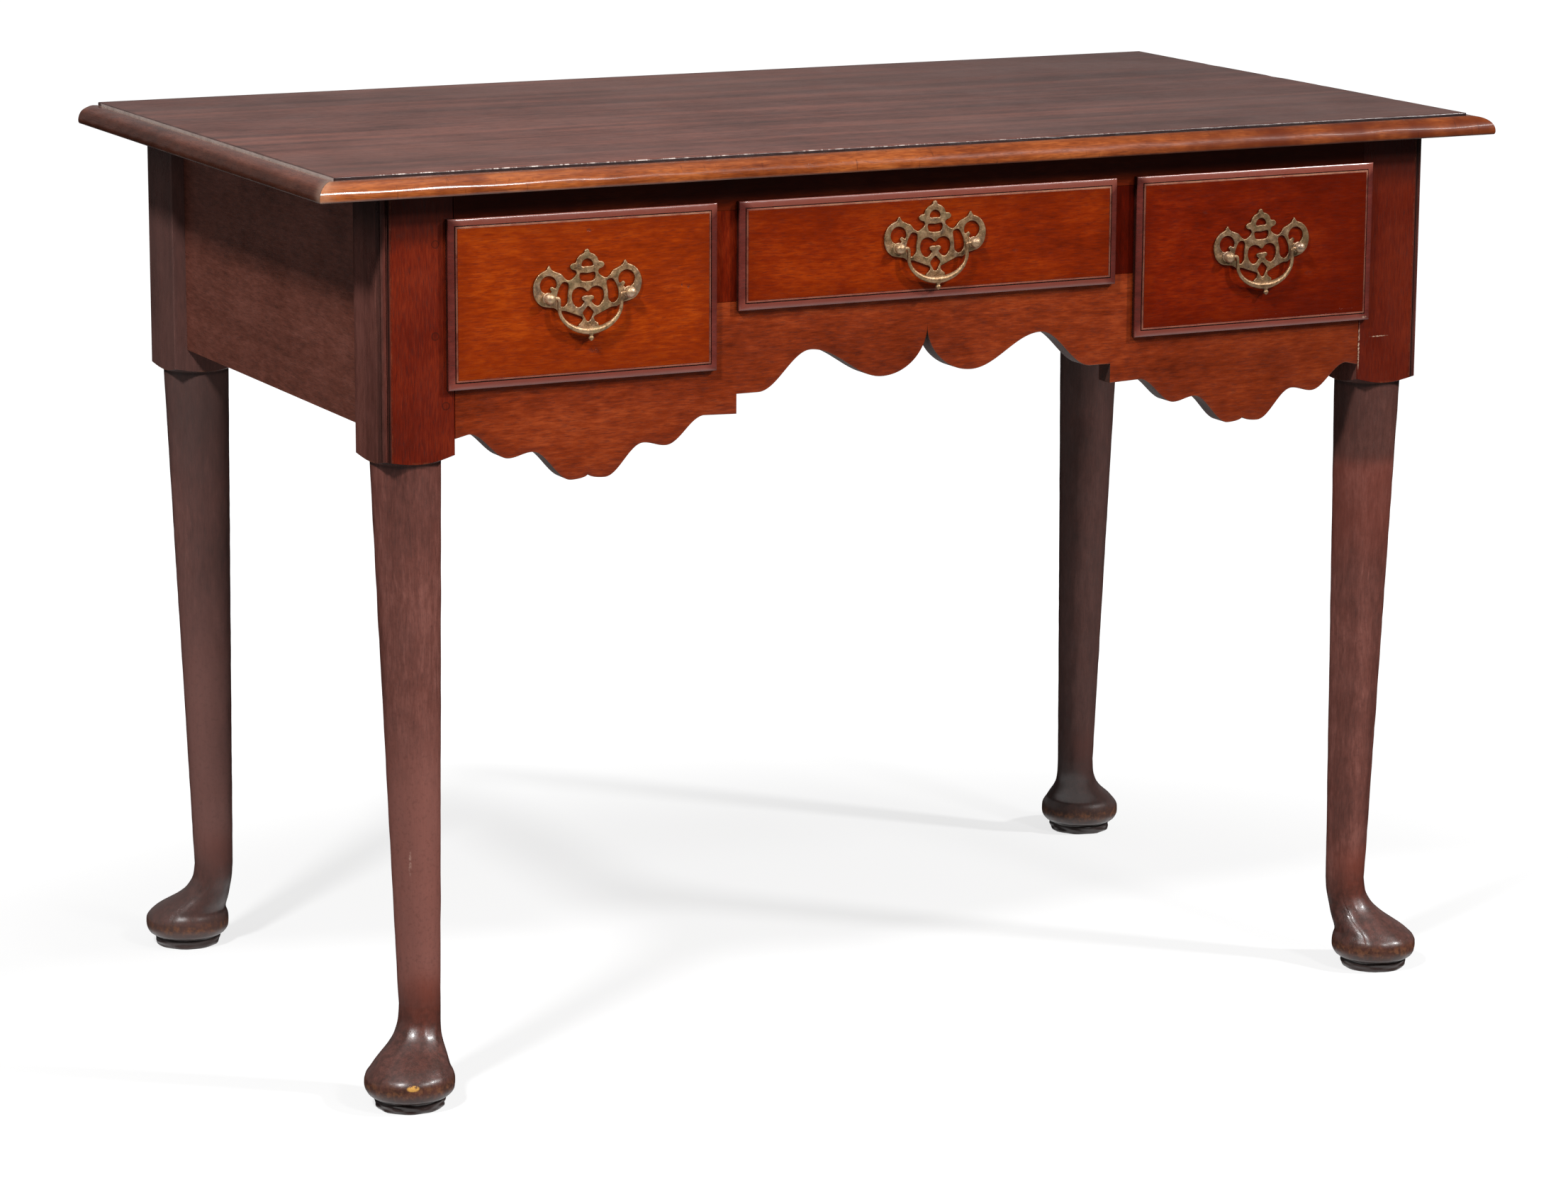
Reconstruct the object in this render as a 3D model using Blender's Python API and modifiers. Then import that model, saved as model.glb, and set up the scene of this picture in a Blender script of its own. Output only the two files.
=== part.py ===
"""Dressing table with three drawers on turned legs with offset pad feet.

Metres, +Z up.  The origin is on the floor, midway between the four leg axes.
The drawers face -Y, and +X is to the right of someone who sits at the table.
"""
import math

import bmesh
import bpy
from mathutils import Matrix, Vector

MM = 0.001

# Whole table
TABLE_WIDTH = 1.040
TABLE_HEIGHT = 0.729
TOP_DEPTH = 0.548
TOP_THICKNESS = 0.0174
SIDE_OVERHANG = 0.057
FRONT_OVERHANG = 0.0215
BACK_OVERHANG = 0.0075
JOINT_GAP = 0.0003

# Moulded edge of the top, on the front and both ends
TOP_EDGE_WIDTH = 0.0175
TOP_EDGE_STEP = 0.0022
TOP_EDGE_FLAT = 0.0040
TOP_EDGE_NOSE = 0.0030
TOP_EDGE_ARRIS = 0.0012

# Legs: a square block above a round taper that ends in a pad foot
LEG_BLOCK = 0.058
LEG_BLOCK_HEIGHT = 0.1996
LEG_TOP_RADIUS = 0.0279
LEG_ANKLE_RADIUS = 0.0162
LEG_ANKLE_HEIGHT = 0.074
ANKLE_SHIFT_X = 0.007
FOOT_SHIFT_X = 0.0104
FOOT_SHIFT_Y = 0.0206
FOOT_RADIUS = 0.0353
FOOT_SOLE_RADIUS = 0.0265
SHOULDER_RISE = 0.0052
CORNER_BEAD = 0.0052
CORNER_QUIRK = 0.0012
CORNER_ROUNDING = 0.0018
LEG_SIDES = 20

# Carcase boards
PANEL_HEIGHT = 0.1851
PANEL_THICKNESS = 0.016
PANEL_RECESS = 0.011
BACK_THICKNESS = 0.014
BACK_RECESS = 0.006
FRONT_THICKNESS = 0.018
TOP_RAIL_HEIGHT = 0.0261
DIVIDER_WIDTH = 0.0323
PARTITION_THICKNESS = 0.016
TENON_LENGTH = 0.012
TENON_THICKNESS = 0.007
TENON_SHOULDER = 0.012

# Drawer openings
SIDE_OPENING_WIDTH = 0.2111
SIDE_OPENING_HEIGHT = 0.1167
CENTRE_OPENING_HEIGHT = 0.0716

# Runners, guides, kickers and the cleats under the top
RUNNER_THICKNESS = 0.012
RUNNER_BEARING = 0.010
GUIDE_THICKNESS = 0.010
GUIDE_HEIGHT = 0.024
KICKER_WIDTH = 0.030
KICKER_THICKNESS = 0.018
CLEAT_SIZE = 0.015
CLEAT_END_GAP = 0.012

# Drawers
DRAWER_BACK_GAP = 0.035
DRAWER_TRAVEL_GAP = 0.001
DRAWER_HEADROOM = 0.003
DRAWER_SIDE_THICKNESS = 0.010
DRAWER_BACK_THICKNESS = 0.009
DRAWER_BACK_DROP = 0.006
DRAWER_BOTTOM_THICKNESS = 0.006
DRAWER_BOTTOM_RAISE = 0.008
DRAWER_GROOVE_DEPTH = 0.0045
DRAWER_FRONT_THICKNESS = 0.022
LIP_OVERLAP = 0.0068
LIP_THICKNESS = 0.0059
LIP_EDGE_WIDTH = 0.010

# Apron outline, heights from the lower edge of the side panels
PENDANT_FROM_LEG = 0.1104
PENDANT_HALF_WIDTH = 0.0992
PENDANT_OUTER_LOBE = 0.066
PENDANT_SADDLE = 0.047
PENDANT_INNER_LOBE = 0.0140
PENDANT_OUTER_DROP = 0.0210
PENDANT_SADDLE_DROP = 0.0175
PENDANT_INNER_DROP = 0.0418
PENDANT_NOTCH_DROP = 0.0380
LEG_END_DROP = 0.0025
SHELF_DROP = 0.0010
ARCH_STEP_FROM_OPENING = 0.0063
ARCH_STEP_RISE = 0.0147
ARCH_FLAT_LENGTH = 0.0188
ARCH_PEAK = 0.103
ARCH_PEAK_RISE = 0.0452
ARCH_LOBE = 0.040
ARCH_LOBE_RISE = 0.0195
ARCH_CUSP_RISE = 0.0580

# Brass handles, each set by hand a little off the middle of its drawer and out of level
LEFT_HANDLE_ASIDE = 0.0016
LEFT_HANDLE_RAISE = 0.0016
LEFT_HANDLE_TILT = 1.0
CENTRE_HANDLE_ASIDE = 0.0020
CENTRE_HANDLE_RAISE = -0.0007
CENTRE_HANDLE_TILT = 1.0
RIGHT_HANDLE_ASIDE = 0.0048
RIGHT_HANDLE_RAISE = -0.0019
RIGHT_HANDLE_TILT = 3.4
POST_SPACING = 0.0672
POST_SHANK_RADIUS = 0.0020
POST_BORE_RADIUS = 0.0024
POST_HEAD_RADIUS = 0.0044
POST_FLANGE_RADIUS = 0.0042
POST_FLANGE_THICKNESS = 0.0006
POST_NECK_RADIUS = 0.0030
POST_NECK_RISE = 0.0004
POST_STANDOFF = 0.0058
POST_NUT_RADIUS = 0.0052
POST_NUT_THICKNESS = 0.003
POST_TAIL = 0.0012
BACKPLATE_THICKNESS = 0.0015
BAIL_END_RADIUS = 0.0014
BAIL_MIDDLE_RADIUS = 0.0031
BAIL_PIN_CLEARANCE = 0.00035
BAIL_PIN_DEPTH = 0.0028
BAIL_ARM = 0.0260
BAIL_DROP = 0.0270
BAIL_NECK = 0.0080
BAIL_ELBOW = 0.0018
BAIL_SWELL_START = 20
DROP_RADIUS = 0.0021
DROP_LENGTH = 0.0082
DROP_NARROWING = 0.2

# Places worked out from the sizes above
CARCASE_TOP = TABLE_HEIGHT - TOP_THICKNESS
CARCASE_BOTTOM = CARCASE_TOP - PANEL_HEIGHT
BLOCK_BOTTOM = CARCASE_TOP - LEG_BLOCK_HEIGHT
BLOCK_HALF = LEG_BLOCK / 2
LEG_X = TABLE_WIDTH / 2 - SIDE_OVERHANG - BLOCK_HALF
LEG_Y = (TOP_DEPTH - FRONT_OVERHANG - BACK_OVERHANG - LEG_BLOCK) / 2
FRAME_FRONT = -LEG_Y - BLOCK_HALF
FRAME_BACK = LEG_Y + BLOCK_HALF
FRONT_INSIDE = FRAME_FRONT + FRONT_THICKNESS
BACK_INSIDE = FRAME_BACK - BACK_RECESS - BACK_THICKNESS
TOP_FRONT = FRAME_FRONT - FRONT_OVERHANG
TOP_BACK = FRAME_BACK + BACK_OVERHANG
LEG_INNER_X = LEG_X - BLOCK_HALF
PANEL_OUTSIDE = LEG_X + BLOCK_HALF - PANEL_RECESS
PANEL_INSIDE = PANEL_OUTSIDE - PANEL_THICKNESS
OPENING_TOP = CARCASE_TOP - TOP_RAIL_HEIGHT
SIDE_SILL = OPENING_TOP - SIDE_OPENING_HEIGHT
CENTRE_SILL = OPENING_TOP - CENTRE_OPENING_HEIGHT
SIDE_OPENING_INNER = LEG_INNER_X - SIDE_OPENING_WIDTH
CENTRE_HALF = SIDE_OPENING_INNER - DIVIDER_WIDTH
DIVIDER_X = (SIDE_OPENING_INNER + CENTRE_HALF) / 2
SIDE_BAY_X = (LEG_INNER_X + SIDE_OPENING_INNER) / 2
LIP_BACK = FRAME_FRONT - JOINT_GAP
LIP_FRONT = LIP_BACK - LIP_THICKNESS
DRAWER_LENGTH = BACK_INSIDE - LIP_FRONT - DRAWER_BACK_GAP

for leftover in list(bpy.data.objects):
    bpy.data.objects.remove(leftover)

PARTS = bpy.data.collections.new("dressing_table")
CUTTERS = bpy.data.collections.new("cutters")
bpy.context.scene.collection.children.link(PARTS)
bpy.context.scene.collection.children.link(CUTTERS)


def finish(name, colour, roughness, metallic=0.0):
    """A Principled material of one colour."""
    material = bpy.data.materials.new(name)
    material.use_nodes = True
    shader = material.node_tree.nodes["Principled BSDF"]
    shader.inputs["Base Color"].default_value = (*colour, 1.0)
    shader.inputs["Roughness"].default_value = roughness
    shader.inputs["Metallic"].default_value = metallic
    return material


MAHOGANY_TOP = finish("mahogany_top", (0.075, 0.030, 0.026), 0.35)
MAHOGANY_EDGE = finish("mahogany_edge", (0.170, 0.050, 0.022), 0.28)
MAHOGANY_FRONT = finish("mahogany_front", (0.200, 0.036, 0.012), 0.32)
MAHOGANY_DARK = finish("mahogany_dark", (0.075, 0.026, 0.020), 0.34)
OAK = finish("oak_inside", (0.300, 0.190, 0.100), 0.65)
BRASS = finish("aged_brass", (0.380, 0.290, 0.150), 0.38, 1.0)


def add(obj, material, at=(0, 0, 0), parent=None):
    """Put an object among the parts, at a world place, under its parent."""
    PARTS.objects.link(obj)
    obj.data.materials.clear()
    obj.data.materials.append(material)
    obj.parent = parent
    base = parent.location if parent else Vector((0, 0, 0))
    obj.location = Vector(at) - base
    return obj


def tool(obj, at=(0, 0, 0), parent=None):
    """Put an object among the hidden shapes that cut or join others."""
    CUTTERS.objects.link(obj)
    obj.parent = parent
    base = parent.location if parent else Vector((0, 0, 0))
    obj.location = Vector(at) - base
    obj.hide_render = True
    obj.display_type = "WIRE"
    return obj


def empty_at(name, at):
    holder = bpy.data.objects.new(name, None)
    PARTS.objects.link(holder)
    holder.location = at
    return holder


def box_mesh(name, low, high):
    """A box from a cube, with its middle at the mesh's origin."""
    size = Vector(high) - Vector(low)
    mesh = bpy.data.meshes.new(name)
    shape = bmesh.new()
    bmesh.ops.create_cube(shape, size=1.0, matrix=Matrix.Diagonal((*size, 1.0)))
    shape.to_mesh(mesh)
    shape.free()
    return mesh


def middle(low, high):
    return (Vector(low) + Vector(high)) / 2


def board(name, low, high, material, parent=None):
    """A board between two opposite corners."""
    return add(bpy.data.objects.new(name, box_mesh(name, low, high)), material, middle(low, high), parent)


def tool_box(name, low, high, parent=None):
    return tool(bpy.data.objects.new(name, box_mesh(name, low, high)), middle(low, high), parent)


def change(target, operand, operation):
    """Cut, join or keep what is common, with a live Boolean."""
    step = target.modifiers.new(operand.name, "BOOLEAN")
    step.operation = operation
    step.solver = "EXACT"
    step.object = operand


def round_tool(name, radius, start, end, parent, sides=12, narrowing=1.0):
    """A cylinder or a cone between two points; narrowing is its end radius over its start radius."""
    start, end = Vector(start), Vector(end)
    along = end - start
    mesh = bpy.data.meshes.new(name)
    shape = bmesh.new()
    bmesh.ops.create_cone(shape, cap_ends=True, segments=sides, radius1=radius,
                          radius2=radius * narrowing, depth=along.length)
    turn = along.to_track_quat("Z", "Y").to_matrix()
    bmesh.ops.rotate(shape, verts=shape.verts, matrix=turn)
    shape.to_mesh(mesh)
    shape.free()
    return tool(bpy.data.objects.new(name, mesh), (start + end) / 2, parent)


def flat_shape(name, loops, thickness):
    """A mesh cut from a flat outline: the first loop is the edge, the rest are holes.

    Loops hold (x, z) points, and the thickness runs along Y about the middle.
    """
    curve = bpy.data.curves.new(name, "CURVE")
    curve.dimensions = "2D"
    curve.fill_mode = "BOTH"
    curve.extrude = thickness / 2
    for loop in loops:
        spline = curve.splines.new("POLY")
        spline.points.add(len(loop) - 1)
        for point, (x, z) in zip(spline.points, loop):
            point.co = (x, z, 0, 1)
        spline.use_cyclic_u = True
    holder = bpy.data.objects.new(name, curve)
    CUTTERS.objects.link(holder)
    bpy.context.view_layer.update()
    ready = holder.evaluated_get(bpy.context.evaluated_depsgraph_get())
    mesh = bpy.data.meshes.new_from_object(ready)
    bpy.data.objects.remove(holder)
    shape = bmesh.new()
    shape.from_mesh(mesh)
    bmesh.ops.remove_doubles(shape, verts=shape.verts, dist=1e-6)
    bmesh.ops.rotate(shape, verts=shape.verts, matrix=Matrix.Rotation(math.pi / 2, 3, "X"))
    bmesh.ops.recalc_face_normals(shape, faces=shape.faces)
    shape.to_mesh(mesh)
    shape.free()
    return mesh


def loft_mesh(name, rings, ring_closed=False):
    """A solid skinned over rings of points.

    An open row of rings gets two end caps; a closed row joins its last ring to its first.
    """
    shape = bmesh.new()
    rows = [[shape.verts.new(point) for point in ring] for ring in rings]
    pairs = list(zip(rows, rows[1:]))
    if ring_closed:
        pairs.append((rows[-1], rows[0]))
    else:
        shape.faces.new(rows[0])
        shape.faces.new(reversed(rows[-1]))
    for lower, upper in pairs:
        for i in range(len(lower)):
            j = (i + 1) % len(lower)
            shape.faces.new((lower[i], upper[i], upper[j], lower[j]))
    bmesh.ops.recalc_face_normals(shape, faces=shape.faces)
    mesh = bpy.data.meshes.new(name)
    shape.to_mesh(mesh)
    shape.free()
    return mesh


def shade_round(mesh, angle):
    mesh.shade_smooth()
    mesh.set_sharp_from_angle(angle=math.radians(angle))


def sweep(start, end, count):
    """Points from start to end on an S whose height is half a cosine wave, without the last one."""
    (x0, z0), (x1, z1) = start, end
    points = []
    for i in range(count):
        share = i / count
        swing = (1 - math.cos(math.pi * share)) / 2
        points.append((x0 + (x1 - x0) * share, z0 + (z1 - z0) * swing))
    return points


def top_edge_profile():
    """Outline of the moulded strip, as (outward, upward) from its inner top corner line."""
    flat, width = TOP_EDGE_FLAT, TOP_EDGE_WIDTH
    bottom = -TOP_THICKNESS
    nose_top = bottom + TOP_EDGE_NOSE
    points = [(JOINT_GAP, bottom), (JOINT_GAP, -TOP_EDGE_STEP), (flat, -TOP_EDGE_STEP)]
    for i in range(1, 6):
        turn = math.radians(90 * i / 5)
        across = flat + (width - flat) * math.sin(turn)
        up = nose_top + (-TOP_EDGE_STEP - nose_top) * math.cos(turn)
        points.append((across, up))
    points.append((width - TOP_EDGE_ARRIS, bottom))
    return points


def make_top():
    inner_x = TABLE_WIDTH / 2 - TOP_EDGE_WIDTH
    inner_front = TOP_FRONT + TOP_EDGE_WIDTH
    board("top_board", (-inner_x, inner_front, CARCASE_TOP + JOINT_GAP),
          (inner_x, TOP_BACK, TABLE_HEIGHT), MAHOGANY_TOP)
    profile = top_edge_profile()
    top = TABLE_HEIGHT
    lift = JOINT_GAP
    profile = [(u, max(v, -TOP_THICKNESS + lift)) for u, v in profile]
    corner = Vector((inner_x, inner_front, top))
    front = [[(side * (corner.x + u), corner.y - u, top + v) for u, v in profile]
             for side in (-1, 1)]
    mesh = loft_mesh("top_moulding_front", front)
    add(bpy.data.objects.new("top_moulding_front", mesh), MAHOGANY_EDGE)
    for side, word in ((-1, "left"), (1, "right")):
        name = f"top_moulding_{word}"
        mitre = [(side * (corner.x + u), corner.y - u + 1.5 * JOINT_GAP, top + v) for u, v in profile]
        end = [(side * (corner.x + u), TOP_BACK, top + v) for u, v in profile]
        add(bpy.data.objects.new(name, loft_mesh(name, [mitre, end])), MAHOGANY_EDGE)


def leg_stations():
    """Height, radius and place between foot and ankle (0 to 1) of each ring of a leg.

    The pad swells from the sole to the rim, then an ogee rises to the ankle.
    """
    sole, rim, ankle = FOOT_SOLE_RADIUS, FOOT_RADIUS, LEG_ANKLE_RADIUS
    rows = [(0.0, sole, 0.0), (7.2 * MM, sole + 1.0 * MM, 0.0), (8.4 * MM, sole + 1.6 * MM, 0.0),
            (12.0 * MM, rim - 2.2 * MM, 0.0), (16.0 * MM, rim - 0.2 * MM, 0.0),
            (21.5 * MM, rim, 0.0), (26.3 * MM, rim - 1.2 * MM, 0.02)]
    ogee = ((30.7, 0.79, 0.08), (35.1, 0.65, 0.21), (39.4, 0.50, 0.38), (45.0, 0.30, 0.59),
            (53.0, 0.11, 0.80), (63.0, 0.02, 0.95))
    for height, swell, shift in ogee:
        rows.append((height * MM, ankle + (rim - ankle) * swell, shift))
    rows.append((LEG_ANKLE_HEIGHT, ankle, 1.0))
    return rows


def leg_rings(side, end):
    """Rings of a leg about its block's axis, outward being side in X and end in Y."""
    foot = Vector((side * FOOT_SHIFT_X, end * FOOT_SHIFT_Y))
    ankle = Vector((-side * ANKLE_SHIFT_X, 0))
    rings = []
    for height, radius, shift in leg_stations():
        rings.append((foot.lerp(ankle, shift), radius, height))
    top_height = BLOCK_BOTTOM + SHOULDER_RISE
    for step in (1, 2, 3):
        share = step / 3
        height = LEG_ANKLE_HEIGHT + (top_height - LEG_ANKLE_HEIGHT) * share
        radius = LEG_ANKLE_RADIUS + (LEG_TOP_RADIUS - LEG_ANKLE_RADIUS) * share
        rings.append((ankle * (1 - share), radius, height))
    points = []
    for centre, radius, height in rings:
        ring = []
        for i in range(LEG_SIDES):
            turn = 2 * math.pi * i / LEG_SIDES
            ring.append((centre.x + radius * math.cos(turn), centre.y + radius * math.sin(turn), height))
        points.append(ring)
    return points


def block_outline(beaded):
    """Plan of a leg block; a front leg has a quirked bead on its outer corner."""
    half = BLOCK_HALF
    if not beaded:
        return [(-half, -half), (half, -half), (half, half), (-half, half)]
    bead, quirk = CORNER_BEAD, CORNER_QUIRK
    rounding = CORNER_ROUNDING
    cut = rounding * (1 - math.cos(math.pi / 4))
    face = [(half, half - bead - quirk), (half - quirk, half - bead - quirk / 2),
            (half, half - bead), (half, half - rounding)]
    corner = (half - cut, half - cut)
    mirrored = [(y, x) for x, y in reversed(face)]
    return [(-half, -half), (half, -half)] + face + [corner] + mirrored + [(-half, half)]


def make_leg(name, side, end):
    """One leg: block, turned shoulder, taper and pad foot in a single piece of wood."""
    at = Vector((side * LEG_X, end * LEG_Y, 0))
    outline = block_outline(beaded=end < 0)
    rings = [[(side * x, end * y, z) for x, y in outline] for z in (BLOCK_BOTTOM, CARCASE_TOP)]
    leg = add(bpy.data.objects.new(name, loft_mesh(name, rings)), MAHOGANY_DARK, at)
    reach = LEG_BLOCK
    outer = BLOCK_HALF * math.sqrt(2)
    slope = SHOULDER_RISE / (outer - LEG_TOP_RADIUS)
    profile = [(0, CARCASE_TOP + BLOCK_HALF), (reach, CARCASE_TOP + BLOCK_HALF),
               (reach, BLOCK_BOTTOM + slope * (reach - LEG_TOP_RADIUS)),
               (LEG_TOP_RADIUS, BLOCK_BOTTOM), (0, BLOCK_BOTTOM)]
    shoulder = tool(turned(f"{name}_shoulder", profile, LEG_SIDES), at)
    change(leg, shoulder, "INTERSECT")
    mesh = loft_mesh(f"{name}_taper", leg_rings(side, end))
    shade_round(mesh, 35)
    taper = tool(bpy.data.objects.new(mesh.name, mesh), at)
    change(leg, taper, "UNION")
    return leg


def turned(name, profile, sides):
    """A solid of revolution about Z: the profile is (radius, height) from top to bottom."""
    mesh = bpy.data.meshes.new(name)
    points = [(radius, 0, height) for radius, height in profile]
    mesh.from_pydata(points, [(i, i + 1) for i in range(len(points) - 1)], [])
    obj = bpy.data.objects.new(name, mesh)
    spin = obj.modifiers.new("turning", "SCREW")
    spin.steps = sides
    spin.render_steps = sides
    spin.use_merge_vertices = True
    spin.merge_threshold = 0.00001
    spin.use_smooth_shade = True
    return obj


def tenon(piece, leg, low, high, name):
    """A tenon that belongs to one piece, and its mortise in another."""
    joint = tool_box(name, low, high)
    change(piece, joint, "UNION")
    slack = Vector((JOINT_GAP, JOINT_GAP, JOINT_GAP))
    hole = tool_box(f"{name}_mortise", Vector(low) - slack, Vector(high) + slack)
    change(leg, hole, "DIFFERENCE")


def make_side_panel(word, side, legs):
    """A panel between the front and back legs of one end, tenoned into both."""
    x0, x1 = sorted((side * PANEL_INSIDE, side * PANEL_OUTSIDE))
    reach = LEG_Y - BLOCK_HALF - JOINT_GAP
    panel = board(f"side_panel_{word}", (x0, -reach, CARCASE_BOTTOM), (x1, reach, CARCASE_TOP), MAHOGANY_DARK)
    mid = (x0 + x1) / 2
    half = TENON_THICKNESS / 2
    z0, z1 = CARCASE_BOTTOM + TENON_SHOULDER, CARCASE_TOP - TENON_SHOULDER
    for end, where in ((-1, "front"), (1, "back")):
        y0, y1 = sorted((end * (reach - TENON_LENGTH), end * (reach + TENON_LENGTH)))
        tenon(panel, legs[(side, end)], (mid - half, y0, z0), (mid + half, y1, z1),
              f"side_tenon_{word}_{where}")


def cross_tenons(piece, legs, end, y_mid, z0, z1, label):
    """Tenons at both ends of a board that runs from side to side."""
    half = TENON_THICKNESS / 2
    for side, word in ((-1, "left"), (1, "right")):
        x0, x1 = sorted((side * (LEG_INNER_X - TENON_LENGTH), side * (LEG_INNER_X + TENON_LENGTH)))
        tenon(piece, legs[(side, end)], (x0, y_mid - half, z0), (x1, y_mid + half, z1),
              f"{label}_tenon_{word}")


def make_back_panel(legs):
    reach = LEG_INNER_X - JOINT_GAP
    outer = FRAME_BACK - BACK_RECESS
    panel = board("back_panel", (-reach, outer - BACK_THICKNESS, CARCASE_BOTTOM),
                  (reach, outer, CARCASE_TOP), OAK)
    cross_tenons(panel, legs, 1, outer - BACK_THICKNESS / 2, CARCASE_BOTTOM + TENON_SHOULDER,
                 CARCASE_TOP - TENON_SHOULDER, "back")


def make_top_rail(legs):
    reach = LEG_INNER_X - JOINT_GAP
    rail = board("front_top_rail", (-reach, FRAME_FRONT, OPENING_TOP), (reach, FRONT_INSIDE, CARCASE_TOP),
                 MAHOGANY_FRONT)
    inset = TENON_SHOULDER / 2
    cross_tenons(rail, legs, -1, FRAME_FRONT + FRONT_THICKNESS / 2, OPENING_TOP + inset,
                 CARCASE_TOP - inset, "rail")


def apron_half_outline():
    """Lower edge of the right half of the apron, from the leg to the middle."""
    base = CARCASE_BOTTOM
    pendant = LEG_INNER_X - PENDANT_FROM_LEG
    reach = LEG_INNER_X - JOINT_GAP
    outer = pendant + PENDANT_HALF_WIDTH
    inner = pendant - PENDANT_HALF_WIDTH
    lobe = (PENDANT_OUTER_LOBE, base - PENDANT_OUTER_DROP)
    saddle = (PENDANT_SADDLE, base - PENDANT_SADDLE_DROP)
    deep = (PENDANT_INNER_LOBE, base - PENDANT_INNER_DROP)
    notch = (pendant, base - PENDANT_NOTCH_DROP)
    points = [(reach, base - LEG_END_DROP)]
    points += sweep((outer, base), (pendant + lobe[0], lobe[1]), 5)
    points += sweep((pendant + lobe[0], lobe[1]), (pendant + saddle[0], saddle[1]), 3)
    points += sweep((pendant + saddle[0], saddle[1]), (pendant + deep[0], deep[1]), 6)
    points += lobe_to_cusp((pendant + deep[0], deep[1]), notch, 3)
    points.append(notch)
    points += list(reversed(lobe_to_cusp((pendant - deep[0], deep[1]), notch, 3)))
    points += sweep((pendant - deep[0], deep[1]), (pendant - saddle[0], saddle[1]), 6)[1:]
    points += sweep((pendant - saddle[0], saddle[1]), (pendant - lobe[0], lobe[1]), 3)
    points += sweep((pendant - lobe[0], lobe[1]), (inner, base), 5)
    step_x = CENTRE_HALF + ARCH_STEP_FROM_OPENING
    step_z = base + ARCH_STEP_RISE
    points += [(inner, base), (step_x, base - SHELF_DROP)]
    points.append((step_x, step_z))
    points += sweep((step_x - ARCH_FLAT_LENGTH, step_z), (ARCH_PEAK, base + ARCH_PEAK_RISE), 7)
    points += sweep((ARCH_PEAK, base + ARCH_PEAK_RISE), (ARCH_LOBE, base + ARCH_LOBE_RISE), 8)
    points += lobe_to_cusp((ARCH_LOBE, base + ARCH_LOBE_RISE), (0, base + ARCH_CUSP_RISE), 6)
    return points


def lobe_to_cusp(low, cusp, count):
    """A quarter of an ellipse from the bottom of a lobe up to a cusp, without the cusp."""
    points = []
    for i in range(count):
        turn = math.radians(90 * i / count)
        x = low[0] + (cusp[0] - low[0]) * math.sin(turn)
        z = low[1] + (cusp[1] - low[1]) * (1 - math.cos(turn))
        points.append((x, z))
    return points


def make_apron(legs):
    """The shaped board under the drawers, cut down under each deep side drawer."""
    reach = LEG_INNER_X - JOINT_GAP
    right = apron_half_outline()
    cusp = (0, CARCASE_BOTTOM + ARCH_CUSP_RISE)
    left = [(-x, z) for x, z in reversed(right)]
    top = [(-reach, SIDE_SILL), (-SIDE_OPENING_INNER, SIDE_SILL), (-SIDE_OPENING_INNER, CENTRE_SILL),
           (SIDE_OPENING_INNER, CENTRE_SILL), (SIDE_OPENING_INNER, SIDE_SILL), (reach, SIDE_SILL)]
    mesh = flat_shape("apron", [right + [cusp] + left + top], FRONT_THICKNESS)
    middle_y = FRAME_FRONT + FRONT_THICKNESS / 2
    apron = add(bpy.data.objects.new("apron", mesh), MAHOGANY_FRONT, (0, middle_y, 0))
    inset = TENON_SHOULDER / 2
    cross_tenons(apron, legs, -1, middle_y, CARCASE_BOTTOM + inset, SIDE_SILL - inset, "apron")


def make_dividers():
    for side, word in ((-1, "left"), (1, "right")):
        x0, x1 = sorted((side * CENTRE_HALF, side * SIDE_OPENING_INNER))
        board(f"drawer_divider_{word}", (x0, FRAME_FRONT, CENTRE_SILL + JOINT_GAP),
              (x1, FRONT_INSIDE, OPENING_TOP - JOINT_GAP), MAHOGANY_FRONT)


def make_partitions():
    """Upright boards from the front to the back panel that carry the inner runners."""
    half = PARTITION_THICKNESS / 2
    low = SIDE_SILL - RUNNER_THICKNESS
    for side, word in ((-1, "left"), (1, "right")):
        mid = side * DIVIDER_X
        board(f"partition_{word}", (mid - half, FRONT_INSIDE + JOINT_GAP, low),
              (mid + half, BACK_INSIDE - JOINT_GAP, CARCASE_TOP), OAK)


def runner_on_partition(name, face, drawer_side, sill, side):
    """A runner with its guide, from the face it is fixed to, toward the drawer."""
    y0, y1 = FRONT_INSIDE + JOINT_GAP, BACK_INSIDE - JOINT_GAP
    toward = 1 if drawer_side > face else -1
    fixed = face + toward * JOINT_GAP
    bearing = drawer_side + toward * RUNNER_BEARING
    guide = drawer_side - toward * DRAWER_TRAVEL_GAP
    outline = [(fixed, sill - RUNNER_THICKNESS), (bearing, sill - RUNNER_THICKNESS), (bearing, sill),
               (guide, sill), (guide, sill + GUIDE_HEIGHT), (fixed, sill + GUIDE_HEIGHT)]
    rings = [[(side * x, y, z) for x, z in outline] for y in (y0, y1)]
    add(bpy.data.objects.new(name, loft_mesh(name, rings)), OAK)


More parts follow.
